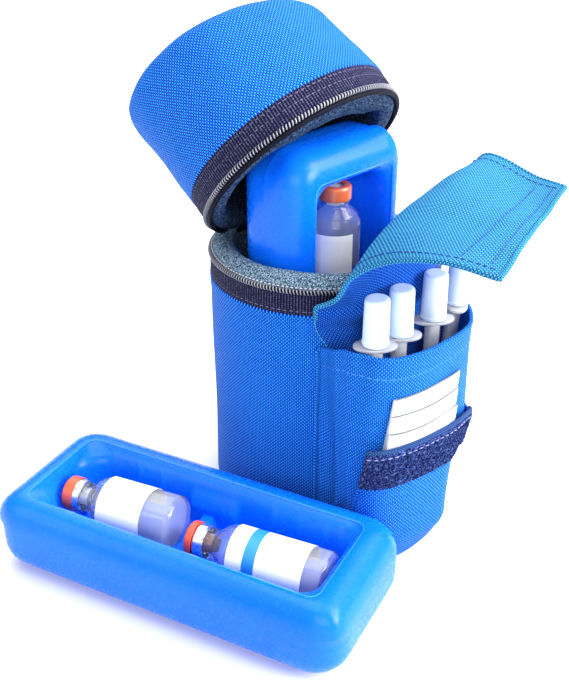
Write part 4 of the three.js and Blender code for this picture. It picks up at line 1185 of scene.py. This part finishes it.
# ------------------------------------------------------------------ syringes
for i, (x, y, t) in enumerate(((-29.6, -58.4, -40), (-15.8, -59.4, -44), (4.6, -60.2, -38), (22.6, -58.0, 42)), 1):
    M = move(x, y, 0) @ turn(t, "Z")
    if i == 4:
        M = move(x, y, 101) @ arr(Matrix.Rotation(rad(4.3), 4, Vector((0.7071, 0.7071, 0)))) @ move(0, 0, -101) @ turn(t, "Z")
    b = "syringe_%d" % i
    top = 101.4
    br = fillet([(0, 33.5), (0.3, 33.5), (0.3, 38.4), (1.5, 38.6), (1.5, 42.4), (3.2, 43.4), (3.2, top), (2.45, top), (2.45, 45.0), (0, 44.6)], [0, 0.1, 0.1, 0.2, 0.4, 0.6, 0.2, 0.2, 0.4, 0], 3)
    br_part = lathe(br, 40)
    n = 64
    a = 2 * pi * np.arange(n) / n
    S = []
    for f, z in ((0.96, top - 1.42), (1.0, top - 1.2), (1.01, top - 0.7), (1.0, top - 0.25), (0.96, top - 0.02)):
        ex, ey = 8.8 * f, 5.2 * f
        sq = np.stack([ex * np.sign(np.cos(a)) * np.abs(np.cos(a)) ** 0.85, ey * np.sign(np.sin(a)) * np.abs(np.sin(a)) ** 0.95, np.full(n, z)], axis=1)
        S.append(sq)
    hole = [np.stack([2.9 * np.cos(a), 2.9 * np.sin(a), np.full(n, z)], axis=1) for z in (top - 0.05, top - 1.4)]
    plate = loft(np.array(S + hole), True, True, False)
    piece("syringe_%d_tube" % i, moved(join(br_part, plate), M), BARREL, b, ["syringe_%d_barrel" % i], flatter=45)
    rod_ = fillet([(0, 45.2), (2.0, 45.6), (2.15, 46.4), (2.15, 49), (1.4, 49.6), (1.4, 104.8), (3.3, 105.0), (3.4, 106.2), (0, 106.4)], [0, 0.4, 0.3, 0.3, 0.3, 0.3, 0.3, 0.3, 0], 3)
    piece("syringe_%d_rod" % i, moved(lathe(rod_, 32), M), ROD, b, ["syringe_%d_plunger" % i], flatter=45)
    tc = fillet([(0, 121.5), (3.7, 121.65), (4.85, 121.3), (5.0, 119.6), (5.25, 103.6), (5.5, 103.0), (5.5, 101.85), (4.5, 101.8), (4.4, 104.0), (3.6, 120.2), (0, 120.2)], [0, 1.0, 0.9, 0.6, 0.4, 0.3, 0.3, 0.2, 0.3, 0.5, 0], 4)
    piece("syringe_%d_cap" % i, moved(lathe(tc, 56), M), FROST, b, ["syringe_%d_thumb_cap" % i])
    nc = fillet([(0, 2.35), (2.0, 2.35), (2.7, 3.1), (3.1, 42.2), (1.9, 42.2), (1.9, 30), (0, 30)], [0, 0.6, 0.6, 0.2, 0.2, 0.4, 0], 4)
    piece("syringe_%d_needle_cover" % i, moved(lathe(nc, 32), M), NEEDLE, b, ["syringe_%d_needle_cap" % i], flatter=45)

# ------------------------------------------------------------------ swab packets
s_left = float(arc[int(np.argmin(np.linalg.norm(wall - np.array([-31.0, -70.4]), axis=1)))])
for i, (off, z0, ds) in enumerate(((0.7, 33.4, 0.0), (1.5, 25.8, -0.9), (2.3, 18.2, -1.6)), 1):
    cu, cv = np.linspace(0, 36, 48), np.linspace(0, 49.6, 50)
    tilt = 0.035
    P = np.zeros((len(cv), len(cu), 3))
    for j, q in enumerate(cv):
        for k, c in enumerate(cu):
            edge_ = min(c, 36 - c, q, 49.6 - q)
            a = s_left - 1.0 + ds + c + (q - 49.6) * 0.13
            x = np.interp(a, arc, wall[:, 0])
            y = np.interp(a, arc, wall[:, 1])
            nx, ny = np.interp(a, arc, out[:, 0]), np.interp(a, arc, out[:, 1])
            b = off + 0.35 * float(smooth(1.5, 6, edge_)) * float(smooth(26, 49, q)) + 0.25 * math.sin(c / 6.0 + 2 * i) * float(smooth(30, 49, q))
            if edge_ < 2.6:
                b += 0.05 * math.sin((c + q) * 4.6)
            P[j, k] = (x + nx * b, y + ny * b, z0 + q + (c - 18) * tilt)
    ob = piece("swab_%d_packet" % i, sheet(P, [[(c, q) for c in cu] for q in cv], 0.36), SWAB, "swab_%d" % i, ["swab_%d" % i])

# ------------------------------------------------------------------ floor, light, camera
N = Nodes("floor_white")
n = N.noise(N.obj(), 3.0, 2.0)
N.set(Base_Color=N.mix(n, (0.78, 0.785, 0.79), (0.81, 0.81, 0.815)), Roughness=N.range(n, 0.3, 0.7, 0.75, 0.85))
N.p.inputs["Specular IOR Level"].default_value = 0.1
me = bpy.data.meshes.new("floor")
bm = bmesh.new()
bmesh.ops.create_grid(bm, x_segments=8, y_segments=8, size=6.0)
bm.to_mesh(me)
bm.free()
me.materials.append(N.m)
floor = bpy.data.objects.new("floor", me)
floor.location.z = -0.0003
scene.collection.objects.link(floor)

world = bpy.data.worlds.new("studio")
scene.world = world
world.use_nodes = True
bg = world.node_tree.nodes["Background"]
bg.inputs[0].default_value = (1.0, 1.0, 1.0, 1.0)
bg.inputs[1].default_value = 0.39


def area(name, at, aim, size, watts, colour=(1, 1, 1)):
    l = bpy.data.lights.new(name, "AREA")
    l.shape = "RECTANGLE"
    l.size, l.size_y = size
    l.energy = watts
    l.color = colour
    o = bpy.data.objects.new(name, l)
    o.location = at
    o.rotation_euler = (Vector(aim) - Vector(at)).to_track_quat("-Z", "Y").to_euler()
    scene.collection.objects.link(o)


area("key", (0.85, -1.10, 1.05), (0, -0.03, 0.1), (0.9, 0.9), 32.0)
area("top", (-0.10, 0.15, 1.8), (0, 0, 0.05), (1.8, 1.8), 34.0)
area("sweep", (0.95, 0.95, 1.1), (0.95, 0.95, 0.0), (1.6, 1.6), 26.0)
area("front", (0.48, -1.35, 0.60), (0, 0, 0.14), (0.6, 0.5), 25.0)
area("side", (0.95, -0.45, 1.20), (0, -0.01, 0.15), (1.0, 0.9), 9.0)
area("left", (-1.1, 0.35, 0.6), (-0.03, 0, 0.1), (0.5, 0.8), 4.0)

area("fill", (-1.0, -1.15, 0.75), (0, -0.02, 0.1), (1.0, 0.8), 13.0)

cam = bpy.data.cameras.new("camera")
cam.sensor_width = 36.0
cam.lens = 53.81
cam.clip_start, cam.clip_end = 0.01, 50.0
co = bpy.data.objects.new("camera", cam)
eye = Vector((-0.3007, -0.2794, 0.2937))
co.location = eye
co.rotation_euler = Vector((0.620, 0.620, -0.4808)).to_track_quat("-Z", "Y").to_euler()
scene.collection.objects.link(co)
scene.camera = co
scene.view_settings.view_transform = "Standard"
